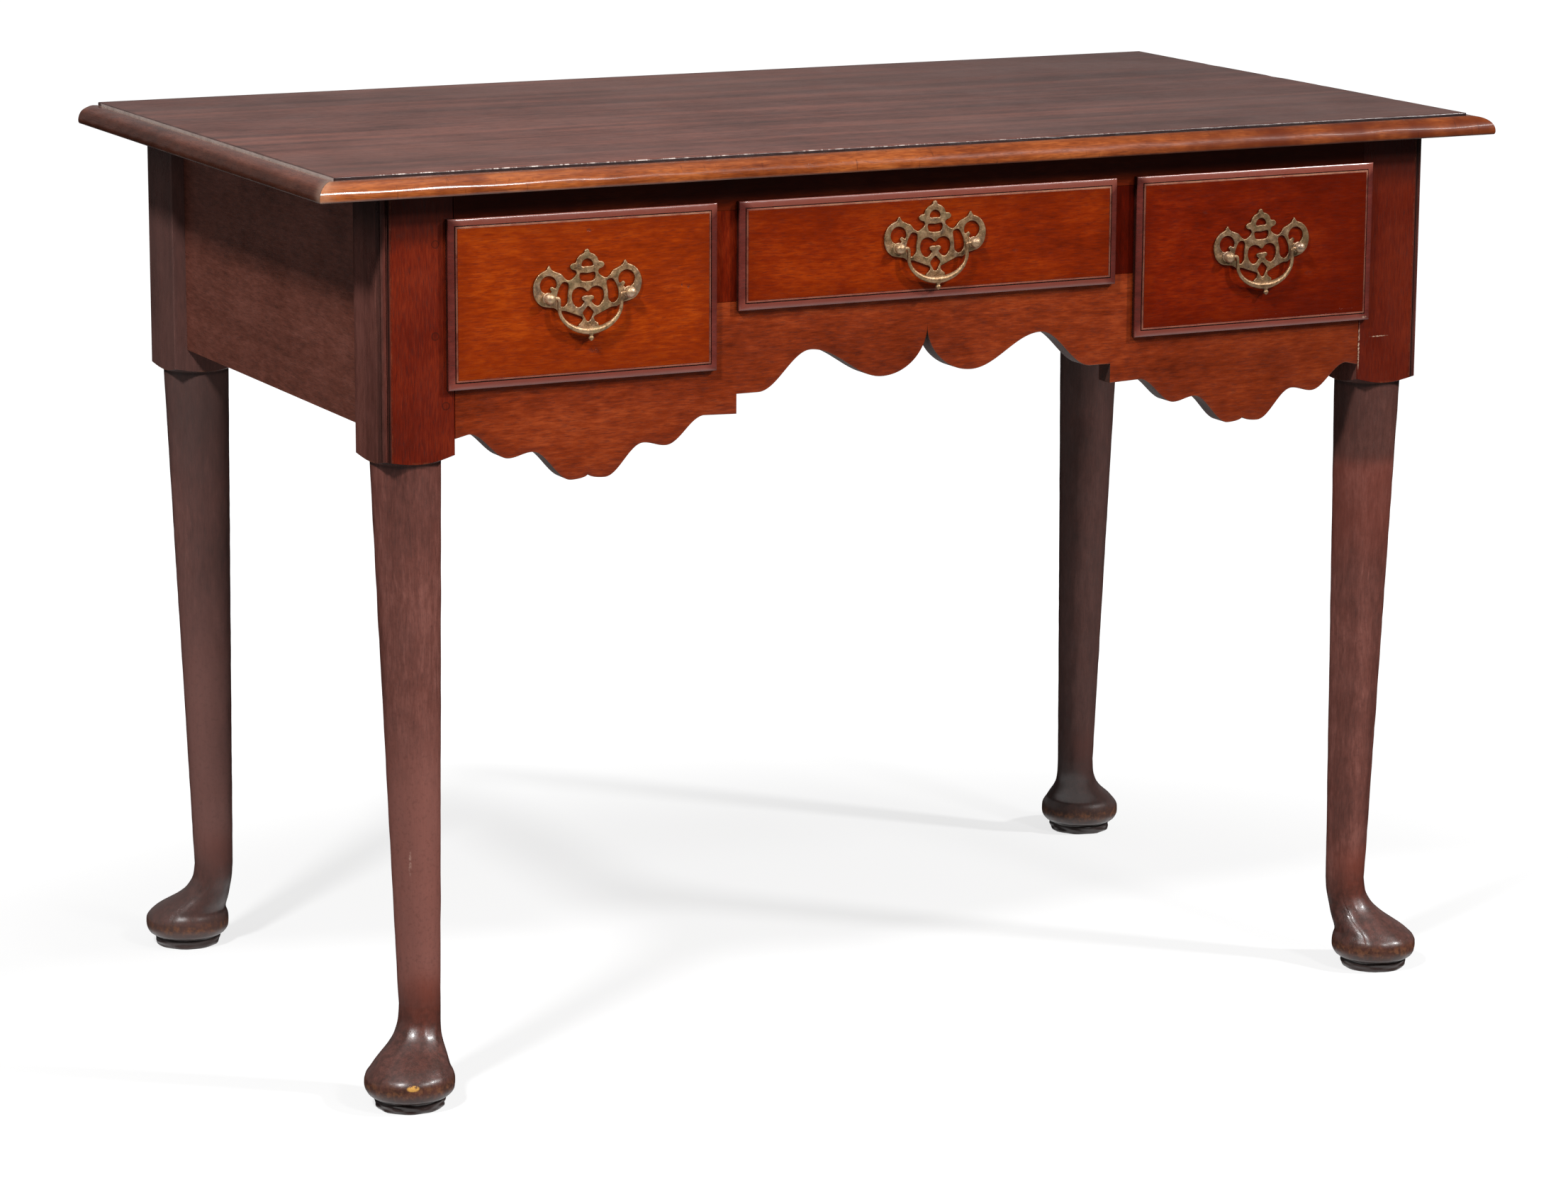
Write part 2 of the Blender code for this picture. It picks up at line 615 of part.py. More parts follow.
def make_outer_runner(name, side):
    """The runner on a side panel, notched round both leg blocks, with its guide on top."""
    reach = LEG_Y - BLOCK_HALF - JOINT_GAP
    bearing = LEG_INNER_X - DRAWER_TRAVEL_GAP - RUNNER_BEARING
    notch = LEG_INNER_X - JOINT_GAP
    fixed = PANEL_INSIDE - JOINT_GAP
    y0, y1 = FRONT_INSIDE + JOINT_GAP, BACK_INSIDE - JOINT_GAP
    plan = [(bearing, y0), (notch, y0), (notch, -reach), (fixed, -reach), (fixed, reach), (notch, reach),
            (notch, y1), (bearing, y1)]
    rings = [[(side * x, y, z) for x, y in plan] for z in (SIDE_SILL - RUNNER_THICKNESS, SIDE_SILL)]
    runner = add(bpy.data.objects.new(name, loft_mesh(name, rings)), OAK)
    x0, x1 = sorted((side * LEG_INNER_X, side * (LEG_INNER_X + GUIDE_THICKNESS)))
    guide = tool_box(f"{name}_guide", (x0, -reach, SIDE_SILL - RUNNER_THICKNESS / 2),
                     (x1, reach, SIDE_SILL + GUIDE_HEIGHT))
    change(runner, guide, "UNION")


def make_runners():
    half = PARTITION_THICKNESS / 2
    for side, word in ((-1, "left"), (1, "right")):
        make_outer_runner(f"runner_{word}_outer", side)
        runner_on_partition(f"runner_{word}_inner", DIVIDER_X + half,
                            SIDE_OPENING_INNER + DRAWER_TRAVEL_GAP, SIDE_SILL, side)
        runner_on_partition(f"runner_centre_{word}", DIVIDER_X - half,
                            CENTRE_HALF - DRAWER_TRAVEL_GAP, CENTRE_SILL, side)


def make_kickers():
    """Strips over the drawers that stop them tipping when they are pulled out."""
    y0, y1 = FRONT_INSIDE + JOINT_GAP, BACK_INSIDE - JOINT_GAP
    for x, word in ((-SIDE_BAY_X, "left"), (0, "centre"), (SIDE_BAY_X, "right")):
        board(f"kicker_{word}", (x - KICKER_WIDTH / 2, y0, OPENING_TOP),
              (x + KICKER_WIDTH / 2, y1, OPENING_TOP + KICKER_THICKNESS), OAK)


def make_cleats():
    """Glued strips that hold the top to the side panels."""
    reach = LEG_Y - BLOCK_HALF - CLEAT_END_GAP
    for side, word in ((-1, "left"), (1, "right")):
        fixed = PANEL_INSIDE - JOINT_GAP
        x0, x1 = sorted((side * fixed, side * (fixed - CLEAT_SIZE)))
        board(f"top_cleat_{word}", (x0, -reach, CARCASE_TOP - CLEAT_SIZE), (x1, reach, CARCASE_TOP), OAK)


def lip_edge_profile():
    """Section of the moulded edge of a drawer: (inward, forward) from the outer back line."""
    square, crown, sunk, field = (share * LIP_THICKNESS for share in (0.34, 0.90, 0.72, 0.96))
    ovolo, groove, groove_end, fillet = (share * LIP_EDGE_WIDTH for share in (0.64, 0.70, 0.78, 0.82))
    points = [(0, 0), (0, square)]
    for turn in (22.5, 45, 67.5, 90):
        angle = math.radians(turn)
        points.append((ovolo * (1 - math.cos(angle)), square + (crown - square) * math.sin(angle)))
    points += [(groove, sunk), (groove_end, sunk), (fillet, field), (LIP_EDGE_WIDTH, field),
               (LIP_EDGE_WIDTH, 0)]
    return points


def make_drawer(word, x, half_opening, sill, holder):
    """The five boards of a drawer and the moulding round its front."""
    half = half_opening - DRAWER_TRAVEL_GAP
    lip_half = half_opening + LIP_OVERLAP
    lip_low, lip_high = sill - LIP_OVERLAP, OPENING_TOP + LIP_OVERLAP
    front_back = LIP_FRONT + DRAWER_FRONT_THICKNESS
    floor = sill + JOINT_GAP
    edge = LIP_EDGE_WIDTH + JOINT_GAP
    name = f"drawer_{word}_front"
    front = board(name, (x - lip_half + edge, LIP_FRONT, lip_low + edge),
                  (x + lip_half - edge, front_back, lip_high - edge), MAHOGANY_FRONT, holder)
    tongue = tool_box(f"{name}_body", (x - half, FRAME_FRONT, floor),
                      (x + half, front_back, OPENING_TOP - DRAWER_HEADROOM), holder)
    change(front, tongue, "UNION")
    make_lip_moulding(word, x, lip_half, lip_low, lip_high, holder)
    y0 = front_back + JOINT_GAP
    y1 = y0 + DRAWER_LENGTH - DRAWER_FRONT_THICKNESS
    side_top = OPENING_TOP - DRAWER_HEADROOM
    groove_low = floor + DRAWER_BOTTOM_RAISE
    groove_high = groove_low + DRAWER_BOTTOM_THICKNESS
    for side, where in ((-1, "left"), (1, "right")):
        outside = x + side * half
        inside = x + side * (half - DRAWER_SIDE_THICKNESS)
        x0, x1 = sorted((inside, outside))
        wall = board(f"drawer_{word}_side_{where}", (x0, y0, floor), (x1, y1, side_top), OAK, holder)
        g0, g1 = sorted((inside - side * JOINT_GAP, inside + side * DRAWER_GROOVE_DEPTH))
        groove = tool_box(f"{wall.name}_groove", (g0, y0 - edge, groove_low - JOINT_GAP),
                          (g1, y1 + edge, groove_high + JOINT_GAP), holder)
        change(wall, groove, "DIFFERENCE")
    clear = half - DRAWER_SIDE_THICKNESS
    bottom_half = clear + DRAWER_GROOVE_DEPTH - JOINT_GAP
    board(f"drawer_{word}_bottom", (x - bottom_half, y0, groove_low), (x + bottom_half, y1, groove_high),
          OAK, holder)
    back_half = clear - JOINT_GAP
    board(f"drawer_{word}_back", (x - back_half, y1 - DRAWER_BACK_THICKNESS, groove_high + JOINT_GAP),
          (x + back_half, y1, side_top - DRAWER_BACK_DROP), OAK, holder)
    return front


def make_lip_moulding(word, x, half, low, high, holder):
    """Mitred moulding round a drawer front, one section carried round a rectangle."""
    rings = []
    for sx, z in ((-1, low), (1, low), (1, high), (-1, high)):
        sz = 1 if z == low else -1
        rings.append([(sx * (half - u), LIP_BACK - v, z + sz * u) for u, v in lip_edge_profile()])
    name = f"drawer_{word}_moulding"
    mesh = loft_mesh(name, rings, ring_closed=True)
    add(bpy.data.objects.new(name, mesh), MAHOGANY_DARK, (x, 0, 0), holder)


# Right half of the pierced back plate in millimetres, from the point midway between the posts.
PLATE_EDGE = ((0, 35.3), (1.8, 34.3), (2.2, 32.6), (5.8, 30.8), (8.4, 28.2), (9.6, 25.4), (12.4, 24.8),
              (14.4, 22.6), (13.2, 20.4), (9.8, 19.0), (9.2, 16.6), (11.6, 14.0), (15.4, 12.2),
              (18.6, 13.8), (21.6, 17.4), (25.6, 19.2), (29.4, 21.2), (31.8, 24.7), (34.0, 21.6),
              (38.6, 19.6), (42.6, 15.8), (45.0, 10.4), (45.2, 4.4), (43.0, -1.6), (38.8, -5.6),
              (33.5, -7.2), (28.2, -8.2), (24.6, -10.6), (19.6, -11.0), (15.4, -12.6), (9.6, -15.0),
              (4.8, -17.4), (5.4, -20.2), (8.4, -22.8), (8.0, -25.0), (4.0, -26.2), (0, -28.4))
CREST_HOLE = ((0, 27.8), (3.0, 26.6), (4.8, 23.6), (4.4, 22.2), (0, 22.0))
WINDOW_HOLE = ((0, 16.6), (6.2, 16.8), (5.6, 11.6), (0, 10.4))
HEART_HOLE = ((0, 2.6), (3.6, 5.4), (8.0, 6.2), (12.0, 4.0), (13.4, -1.0), (12.0, -6.0), (8.6, -9.0),
              (6.0, -8.4), (3.0, -5.0), (4.8, -3.4), (5.0, -1.6), (3.4, -0.6), (0, -0.6))
DROP_HOLE = ((0, -9.8), (2.4, -13.5), (2.6, -17.0), (0, -19.4))
SIDE_HOLE = ((16.6, 9.6), (20.4, 10.4), (23.4, 6.6), (25.2, 1.2), (24.4, -4.2), (20.6, -6.8),
             (18.0, -4.4), (17.4, 1.4))
EAR_HOLE = (32.8, 9.8)
EAR_HOLE_RADIUS = 5.9


def mirrored_loop(half):
    """A closed loop from a half that starts and ends on the middle line."""
    right = [(x * MM, z * MM) for x, z in half]
    left = [(-x, z) for x, z in reversed(right[1:-1])]
    return right + left


def round_loop(x, z, radius, count=12):
    steps = [2 * math.pi * i / count for i in range(count)]
    return [(x + radius * math.cos(a), z + radius * math.sin(a)) for a in steps]


def plate_loops():
    loops = [mirrored_loop(half) for half in (PLATE_EDGE, CREST_HOLE, WINDOW_HOLE, HEART_HOLE, DROP_HOLE)]
    ear_x, ear_z = EAR_HOLE
    for side in (-1, 1):
        loops.append(round_loop(side * ear_x * MM, ear_z * MM, EAR_HOLE_RADIUS * MM))
        loops.append(round_loop(side * POST_SPACING / 2, 0, POST_BORE_RADIUS, 8))
        loops.append([(side * x * MM, z * MM) for x, z in SIDE_HOLE])
    return loops


def post_profile():
    """Half section of a post along its axis, from the tip of the head to the nut's end."""
    head, flange = POST_HEAD_RADIUS, POST_FLANGE_RADIUS
    seat = BACKPLATE_THICKNESS + 2 * JOINT_GAP
    rim = seat + POST_FLANGE_THICKNESS
    points = [(0, POST_STANDOFF + head)]
    for turn in (30, 60, 90, 120):
        angle = math.radians(turn)
        points.append((head * math.sin(angle), POST_STANDOFF + head * math.cos(angle)))
    points += [(POST_NECK_RADIUS, rim + POST_NECK_RISE), (flange, rim), (flange, seat),
               (POST_SHANK_RADIUS, seat)]
    nut = -DRAWER_FRONT_THICKNESS - JOINT_GAP
    end = nut - POST_NUT_THICKNESS
    points += [(POST_SHANK_RADIUS, nut), (POST_NUT_RADIUS, nut), (POST_NUT_RADIUS, end),
               (POST_SHANK_RADIUS, end), (POST_SHANK_RADIUS, end - POST_TAIL), (0, end - POST_TAIL)]
    return points


def bail_points():
    """Right half of a bail, from its pin to the middle: X, Z and share of the thickening.

    A round elbow turns down from the pin to a straight neck, and a quarter of an ellipse
    reaches the middle, thickening from the angle where its swell starts.
    """
    pin_end = POST_SPACING / 2 - POST_HEAD_RADIUS + BAIL_PIN_DEPTH
    points = [(pin_end, 0, 0)]
    for turn in (0, 45, 90):
        angle = math.radians(turn)
        x = BAIL_ARM + BAIL_ELBOW * (1 - math.sin(angle))
        points.append((x, -BAIL_ELBOW * (1 - math.cos(angle)), 0))
    for turn in (0, 18, 36, 52, 66, 78, 90):
        angle = math.radians(turn)
        z = -BAIL_NECK - (BAIL_DROP - BAIL_NECK) * math.sin(angle)
        swell = (turn - BAIL_SWELL_START) / (90 - BAIL_SWELL_START)
        points.append((BAIL_ARM * math.cos(angle), z, max(0, swell)))
    return points


def bail_mesh(name):
    """A round bar along the bail's line that swells toward its middle."""
    right = bail_points()
    line = right + [(-x, z, swell) for x, z, swell in reversed(right[:-1])]
    curve = bpy.data.curves.new(name, "CURVE")
    curve.dimensions = "3D"
    curve.bevel_depth = 1.0
    curve.bevel_resolution = 2
    curve.use_fill_caps = True
    curve.render_resolution_u = 0
    spline = curve.splines.new("POLY")
    spline.points.add(len(line) - 1)
    for point, (x, z, swell) in zip(spline.points, line):
        point.co = (x, 0, z, 1)
        point.radius = BAIL_END_RADIUS + (BAIL_MIDDLE_RADIUS - BAIL_END_RADIUS) * swell
    holder = bpy.data.objects.new(name, curve)
    CUTTERS.objects.link(holder)
    bpy.context.view_layer.update()
    ready = holder.evaluated_get(bpy.context.evaluated_depsgraph_get())
    mesh = bpy.data.meshes.new_from_object(ready)
    bpy.data.objects.remove(holder)
    shape = bmesh.new()
    shape.from_mesh(mesh)
    bmesh.ops.remove_doubles(shape, verts=shape.verts, dist=1e-6)
    bmesh.ops.recalc_face_normals(shape, faces=shape.faces)
    shape.to_mesh(mesh)
    shape.free()
    return mesh


def make_handle(word, at, tilt, front, holder):
    """Back plate, two posts through the drawer front, and the bail that swings in them."""
    centre = Vector(at)
    level = Matrix.Rotation(-math.radians(tilt), 3, "Y")
    across = level @ Vector((1, 0, 0))
    lean = (0, -math.radians(tilt), 0)
    mesh = flat_shape(f"handle_{word}_plate", plate_loops(), BACKPLATE_THICKNESS)
    seat = Vector((0, -JOINT_GAP - BACKPLATE_THICKNESS / 2, 0))
    plate = add(bpy.data.objects.new(f"handle_{word}_plate", mesh), BRASS, centre + seat, holder)
    plate.rotation_euler = lean
    swing = Vector((0, -POST_STANDOFF, 0))
    through = Vector((0, DRAWER_FRONT_THICKNESS + MM, 0))
    for side, where in ((-1, "left"), (1, "right")):
        foot = centre + across * (side * POST_SPACING / 2)
        bore = round_tool(f"{word}_{where}_bore", POST_BORE_RADIUS, foot - through, foot + through, holder)
        change(front, bore, "DIFFERENCE")
        name = f"handle_{word}_post_{where}"
        post = add(turned(name, post_profile(), 12), BRASS, foot, holder)
        post.rotation_euler = (math.pi / 2, 0, 0)
        reach = POST_HEAD_RADIUS - BAIL_PIN_DEPTH - 2 * JOINT_GAP
        inner = foot + swing - across * (side * reach)
        outside = foot + swing - across * (side * (POST_HEAD_RADIUS + MM))
        socket = round_tool(f"{name}_socket", BAIL_END_RADIUS + BAIL_PIN_CLEARANCE, inner, outside,
                            holder, 10)
        change(post, socket, "DIFFERENCE")
    mesh = bail_mesh(f"handle_{word}_bail")
    shade_round(mesh, 60)
    bail = add(bpy.data.objects.new(f"handle_{word}_bail", mesh), BRASS, centre + swing, holder)
    bail.rotation_euler = lean
    down = level @ Vector((0, 0, -1))
    low_point = centre + swing + down * BAIL_DROP
    tip = round_tool(f"handle_{word}_drop", DROP_RADIUS, low_point, low_point + down * DROP_LENGTH,
                     holder, 8, DROP_NARROWING)
    change(bail, tip, "UNION")


def main():
    make_top()
    legs = {}
    for end, where in ((-1, "front"), (1, "back")):
        for side, word in ((-1, "left"), (1, "right")):
            legs[(side, end)] = make_leg(f"leg_{where}_{word}", side, end)
    make_side_panel("left", -1, legs)
    make_side_panel("right", 1, legs)
    make_back_panel(legs)
    make_top_rail(legs)
    make_apron(legs)
    make_dividers()
    make_partitions()
    make_runners()
    make_kickers()
    make_cleats()
    side_half = SIDE_OPENING_WIDTH / 2
    drawers = (("left", -SIDE_BAY_X, side_half, SIDE_SILL,
                LEFT_HANDLE_ASIDE, LEFT_HANDLE_RAISE, LEFT_HANDLE_TILT),
               ("centre", 0.0, CENTRE_HALF, CENTRE_SILL,
                CENTRE_HANDLE_ASIDE, CENTRE_HANDLE_RAISE, CENTRE_HANDLE_TILT),
               ("right", SIDE_BAY_X, side_half, SIDE_SILL,
                RIGHT_HANDLE_ASIDE, RIGHT_HANDLE_RAISE, RIGHT_HANDLE_TILT))
    for word, x, half, sill, aside, rise, tilt in drawers:
        mid_z = (sill + OPENING_TOP) / 2
        holder = empty_at(f"drawer_{word}_slide", (x, LIP_FRONT, mid_z))
        front = make_drawer(word, x, half, sill, holder)
        make_handle(word, (x + aside, LIP_FRONT, mid_z + rise), tilt, front, holder)


main()
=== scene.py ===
# A three-drawer mahogany dressing table: finishes, turned legs, mouldings, fretted apron and brasses.
# Metres, +Z up. The drawers face -Y and +X is to the right of someone who sits at the table.
import math

import bpy
import numpy as np
from mathutils import Matrix, Vector


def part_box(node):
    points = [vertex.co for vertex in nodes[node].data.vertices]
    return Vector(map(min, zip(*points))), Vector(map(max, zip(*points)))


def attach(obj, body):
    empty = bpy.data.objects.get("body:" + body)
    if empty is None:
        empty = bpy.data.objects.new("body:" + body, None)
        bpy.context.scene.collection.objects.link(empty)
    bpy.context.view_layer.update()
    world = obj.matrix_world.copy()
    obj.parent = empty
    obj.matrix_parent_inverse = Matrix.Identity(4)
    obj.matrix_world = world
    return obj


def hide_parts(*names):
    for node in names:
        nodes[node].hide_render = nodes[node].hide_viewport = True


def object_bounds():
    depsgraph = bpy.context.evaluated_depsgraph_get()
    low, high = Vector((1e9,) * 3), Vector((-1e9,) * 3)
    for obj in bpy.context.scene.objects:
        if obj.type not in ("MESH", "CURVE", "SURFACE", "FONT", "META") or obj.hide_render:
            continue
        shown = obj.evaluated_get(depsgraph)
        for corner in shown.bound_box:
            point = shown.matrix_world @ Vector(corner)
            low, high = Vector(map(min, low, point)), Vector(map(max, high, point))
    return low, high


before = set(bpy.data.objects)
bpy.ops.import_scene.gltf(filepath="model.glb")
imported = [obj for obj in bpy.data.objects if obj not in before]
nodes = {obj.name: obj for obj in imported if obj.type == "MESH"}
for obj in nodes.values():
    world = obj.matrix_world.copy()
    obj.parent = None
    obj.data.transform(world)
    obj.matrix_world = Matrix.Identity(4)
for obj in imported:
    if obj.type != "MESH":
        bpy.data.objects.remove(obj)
cadLow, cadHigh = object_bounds()
mm = 0.001
quarterTurn, fullTurn = np.pi / 2, 2 * np.pi
print("frame loaded:", len(nodes), "nodes")


def added(name, data):
    made = bpy.data.objects.new(name, data)
    bpy.context.scene.collection.objects.link(made)
    return made


# Camera

viewpoint = {
    "place": (-1.84248, -3.67127, 1.20631),
    "azimuth": 26.7116,  # degrees, turned from +Y toward +X
    "elevation": 12.2146,  # degrees looked down
    "roll": 0.3149,
    "lens": 113.884,
    "sensor": 36,
    "farthest": 200,
}


def placeCamera(setup):
    azimuth, elevation, roll = (math.radians(setup[key]) for key in ("azimuth", "elevation", "roll"))
    level = math.cos(elevation)
    forward = Vector((math.sin(azimuth) * level, math.cos(azimuth) * level, -math.sin(elevation)))
    side = Vector((math.cos(azimuth), -math.sin(azimuth), 0))
    up = side.cross(forward)
    turn = Matrix((side * math.cos(roll) + up * math.sin(roll), up * math.cos(roll) - side * math.sin(roll),
                   -forward)).transposed()
    data = bpy.data.cameras.new("camera")
    data.lens = setup["lens"]
    data.sensor_width = setup["sensor"]
    data.clip_end = setup["farthest"]
    camera = added("camera", data)
    camera.matrix_world = Matrix.Translation(setup["place"]) @ turn.to_4x4()
    bpy.context.scene.camera = camera


placeCamera(viewpoint)


# Shader building

class Link:
    # one output of a node, used in expressions: each operator adds its Math node
    def __init__(self, finish, socket):
        self.finish = finish
        self.socket = socket

    def __add__(self, other):
        return self.finish.math("ADD", self, other)

    def __radd__(self, other):
        return self.finish.math("ADD", other, self)

    def __sub__(self, other):
        return self.finish.math("SUBTRACT", self, other)

    def __rsub__(self, other):
        return self.finish.math("SUBTRACT", other, self)

    def __mul__(self, other):
        return self.finish.math("MULTIPLY", self, other)

    def __rmul__(self, other):
        return self.finish.math("MULTIPLY", other, self)


class Finish:
    # a material, or the world, while its nodes are laid out; "where" is the place on the object
    def __init__(self, owner, view="Object"):
        owner.use_nodes = True
        self.owner = owner
        self.tree = owner.node_tree
        self.where = self.node("ShaderNodeTexCoord", output=view)
        self.coordinates = {}

    def node(self, kind, settings=None, inputs=None, output=0):
        made = self.tree.nodes.new(kind)
        for key, value in (settings or {}).items():
            if key == "stops":
                for place, colour in value[:-2]:
                    made.color_ramp.elements.new(place)
                for element, (place, colour) in zip(made.color_ramp.elements, value):
                    element.position = place
                    element.color = (*colour, 1)
            else:
                setattr(made, key, value)
        for key, value in (inputs or {}).items():
            if isinstance(value, Link):
                self.tree.links.new(value.socket, made.inputs[key])
            else:
                made.inputs[key].default_value = value
        return Link(self, made.outputs[output])

    def math(self, operation, *values):
        return self.node("ShaderNodeMath", {"operation": operation}, dict(enumerate(values)))

    def vector(self, operation, *values, output=0):
        return self.node("ShaderNodeVectorMath", {"operation": operation}, dict(enumerate(values)), output)

    def attribute(self, name):
        return self.node("ShaderNodeAttribute", {"attribute_name": name}, None, "Fac")

    def stretch(self, where, scale, shift=(0, 0, 0)):
        return self.node("ShaderNodeMapping", None, {"Vector": where, "Location": shift, "Scale": scale})

    def noise(self, where, scale, detail, rough=0.55, output="Fac"):
        return self.node("ShaderNodeTexNoise", None,
                         {"Vector": where, "Scale": scale, "Detail": detail, "Roughness": rough}, output)

    def between(self, value, low, high, start=0.0, end=1.0):
        # a smooth step from start to end as the value goes from low to high
        return self.node("ShaderNodeMapRange", {"interpolation_type": "SMOOTHSTEP", "clamp": True},
                         {"Value": value, "From Min": low, "From Max": high, "To Min": start, "To Max": end})

    def axis(self, name):
        if name not in self.coordinates:
            apart = self.node("ShaderNodeSeparateXYZ", None, {0: self.where}, "xyz".index(name))
            self.coordinates[name] = apart
        return self.coordinates[name]

    def along(self, name, *limits):
        return self.between(self.axis(name), *limits)

    def patches(self, scale, detail, rough, *limits):
        # blots of noise cut between two levels; three scales stretch them along the axes
        where = self.where
        if isinstance(scale, tuple):
            where = self.stretch(where, scale)
            scale = 1.0
        return self.between(self.noise(where, scale, detail, rough), *limits)

    def spot(self, centre, halves, soft):
        # 1 inside an egg shape with these half sizes in mm along X, Y and Z, 0 outside it, with a soft rim
        scale = tuple(1 / (half * mm) for half in halves)
        shift = tuple(-at * factor for at, factor in zip(centre, scale))
        away = self.vector("LENGTH", self.stretch(self.where, scale, shift), output="Value")
        return self.between(away, 1.0, 1.0 - soft)

    def mix(self, factor, first, second):
        first, second = ((*c, 1) if isinstance(c, tuple) else c for c in (first, second))
        return self.node("ShaderNodeMix", {"data_type": "RGBA", "clamp_factor": True},
                         {0: factor, 6: first, 7: second}, 2)

    def ramp(self, factor, stops):
        return self.node("ShaderNodeValToRGB", {"stops": stops}, {0: factor})

    def bump(self, height, distance, strength, onto=None):
        inputs = {"Strength": strength, "Distance": distance, "Height": height}
        if onto:
            inputs["Normal"] = onto
        return self.node("ShaderNodeBump", None, inputs)

    def feed(self, **values):
        # sockets of the Principled shader by name, with _ for a space
        shader = self.tree.nodes["Principled BSDF"]
        for key, value in values.items():
            socket = shader.inputs[key.replace("_", " ")]
            if isinstance(value, Link):
                self.tree.links.new(value.socket, socket)
            else:
                socket.default_value = (*value, 1) if isinstance(value, tuple) else value


def newFinish(name):
    return Finish(bpy.data.materials.new(name))


# Light and floor

studio = {
    "floorRadius": 40.0,
    "floorSides": 96,
    "floorTone": 0.23,  # the sweep is partly lit from within, so its shadows stay faint
    "floorGlow": (0.75, 1.0),  # under the table and beyond it
    "glowReach": (0.35, 0.95),
    "glowNarrow": 0.72,
    # light on dull surfaces, from below and from above
    "bounce": 0.40, "sky": 0.15, "skyBand": (-0.15, 0.35),
    # what polish mirrors, each with the band of directions over which it comes in
    "frontShine": 0.015, "backdropShine": 0.19, "backdropBand": (-0.25, 0.5),
    "leftShine": 0.16, "leftBand": (-0.55, -0.95),
    "horizonBand": (-0.12, 0.05),
    "overheadShine": 0.60, "overheadBand": (0.70, 0.95),
    "floorShine": 1.0, "floorBand": (-0.30, -0.62),
    "aim": (0, 0, 0.45),
    "lamps": {
        # place, size across, watts
        "left": ((-2.55, -1.83, 3.50), 0.45, 150),
        "front": ((1.00, -3.30, 3.00), 0.60, 50),
        "right": ((3.60, -3.30, 4.10), 0.50, 270),
    },
}


def layFloor(setup):
    turn = np.linspace(0, fullTurn, setup["floorSides"], endpoint=False)
    points = np.column_stack([np.cos(turn), np.sin(turn), 0 * turn]) * setup["floorRadius"]
    mesh = bpy.data.meshes.new("floor")
    mesh.from_pydata(points.tolist(), [], [list(range(len(points)))])
    floor = added("floor", mesh)
    floor.visible_glossy = False
    floor.visible_diffuse = False
    finish = newFinish("floorPaper")
    narrowed = finish.stretch(finish.where, (setup["glowNarrow"], 1.0, 1.0))
    reach = finish.vector("LENGTH", narrowed, output="Value")
    glow = finish.between(reach, *setup["glowReach"], *setup["floorGlow"])
    finish.feed(Base_Color=(setup["floorTone"],) * 3, Roughness=1.0, Specular_IOR_Level=0.0,
                Emission_Strength=1.0, Emission_Color=finish.ramp(glow, [(0, (0, 0, 0)), (1, (1, 1, 1))]))
    mesh.materials.append(finish.owner)


def lightStage(setup):
    world = bpy.data.worlds.new("studio")
    bpy.context.scene.world = world
    sky = Finish(world, "Generated")
    soft = sky.along("z", *setup["skyBand"], setup["bounce"], setup["sky"])
    shine = sky.along("y", *setup["backdropBand"], setup["frontShine"], setup["backdropShine"])
    shine = shine + sky.along("x", *setup["leftBand"], 0.0, setup["leftShine"])
    shine = (shine * sky.along("z", *setup["horizonBand"])
             + sky.along("z", *setup["overheadBand"]) * setup["overheadShine"])
    shine = shine + sky.along("z", *setup["floorBand"]) * setup["floorShine"]
    dull, seen = (sky.node("ShaderNodeLightPath", output=f"Is {kind} Ray") for kind in ("Diffuse", "Camera"))
    level = dull * soft + (1 - dull) * shine
    level = level + seen * (1 - level)
    grey = sky.node("ShaderNodeCombineColor", None, {0: level, 1: level, 2: level})
    sky.tree.links.new(grey.socket, sky.tree.nodes["Background"].inputs["Color"])
    for name, (place, size, watts) in setup["lamps"].items():
        data = bpy.data.lights.new(name, "AREA")
        data.shape = "DISK"
        data.size = size
        data.energy = watts
        lamp = added(name, data)
        lamp.location = place
        lamp.rotation_euler = (Vector(setup["aim"]) - Vector(place)).to_track_quat("-Z", "Y").to_euler()
    bpy.context.scene.view_settings.view_transform = "Standard"
    print("stage lit by", len(setup["lamps"]), "lamps")


layFloor(studio)
lightStage(studio)


# Finishes

def board(grain, deep, main, bright, strengths, rough, gloss, shift, relief=0.35):
    # grain axis; three colours; strengths of streaks, flecks, fibres and clouds; roughness and gloss of the
    # polish; shift of the pattern, so that no two boards are cut alike; relief of the fibres
    return {"grain": grain, "deep": deep, "main": main, "bright": bright, "rough": rough, "gloss": gloss,
            "shift": shift, "relief": relief, **dict(zip(("streak", "fleck", "fibre", "cloud"), strengths))}


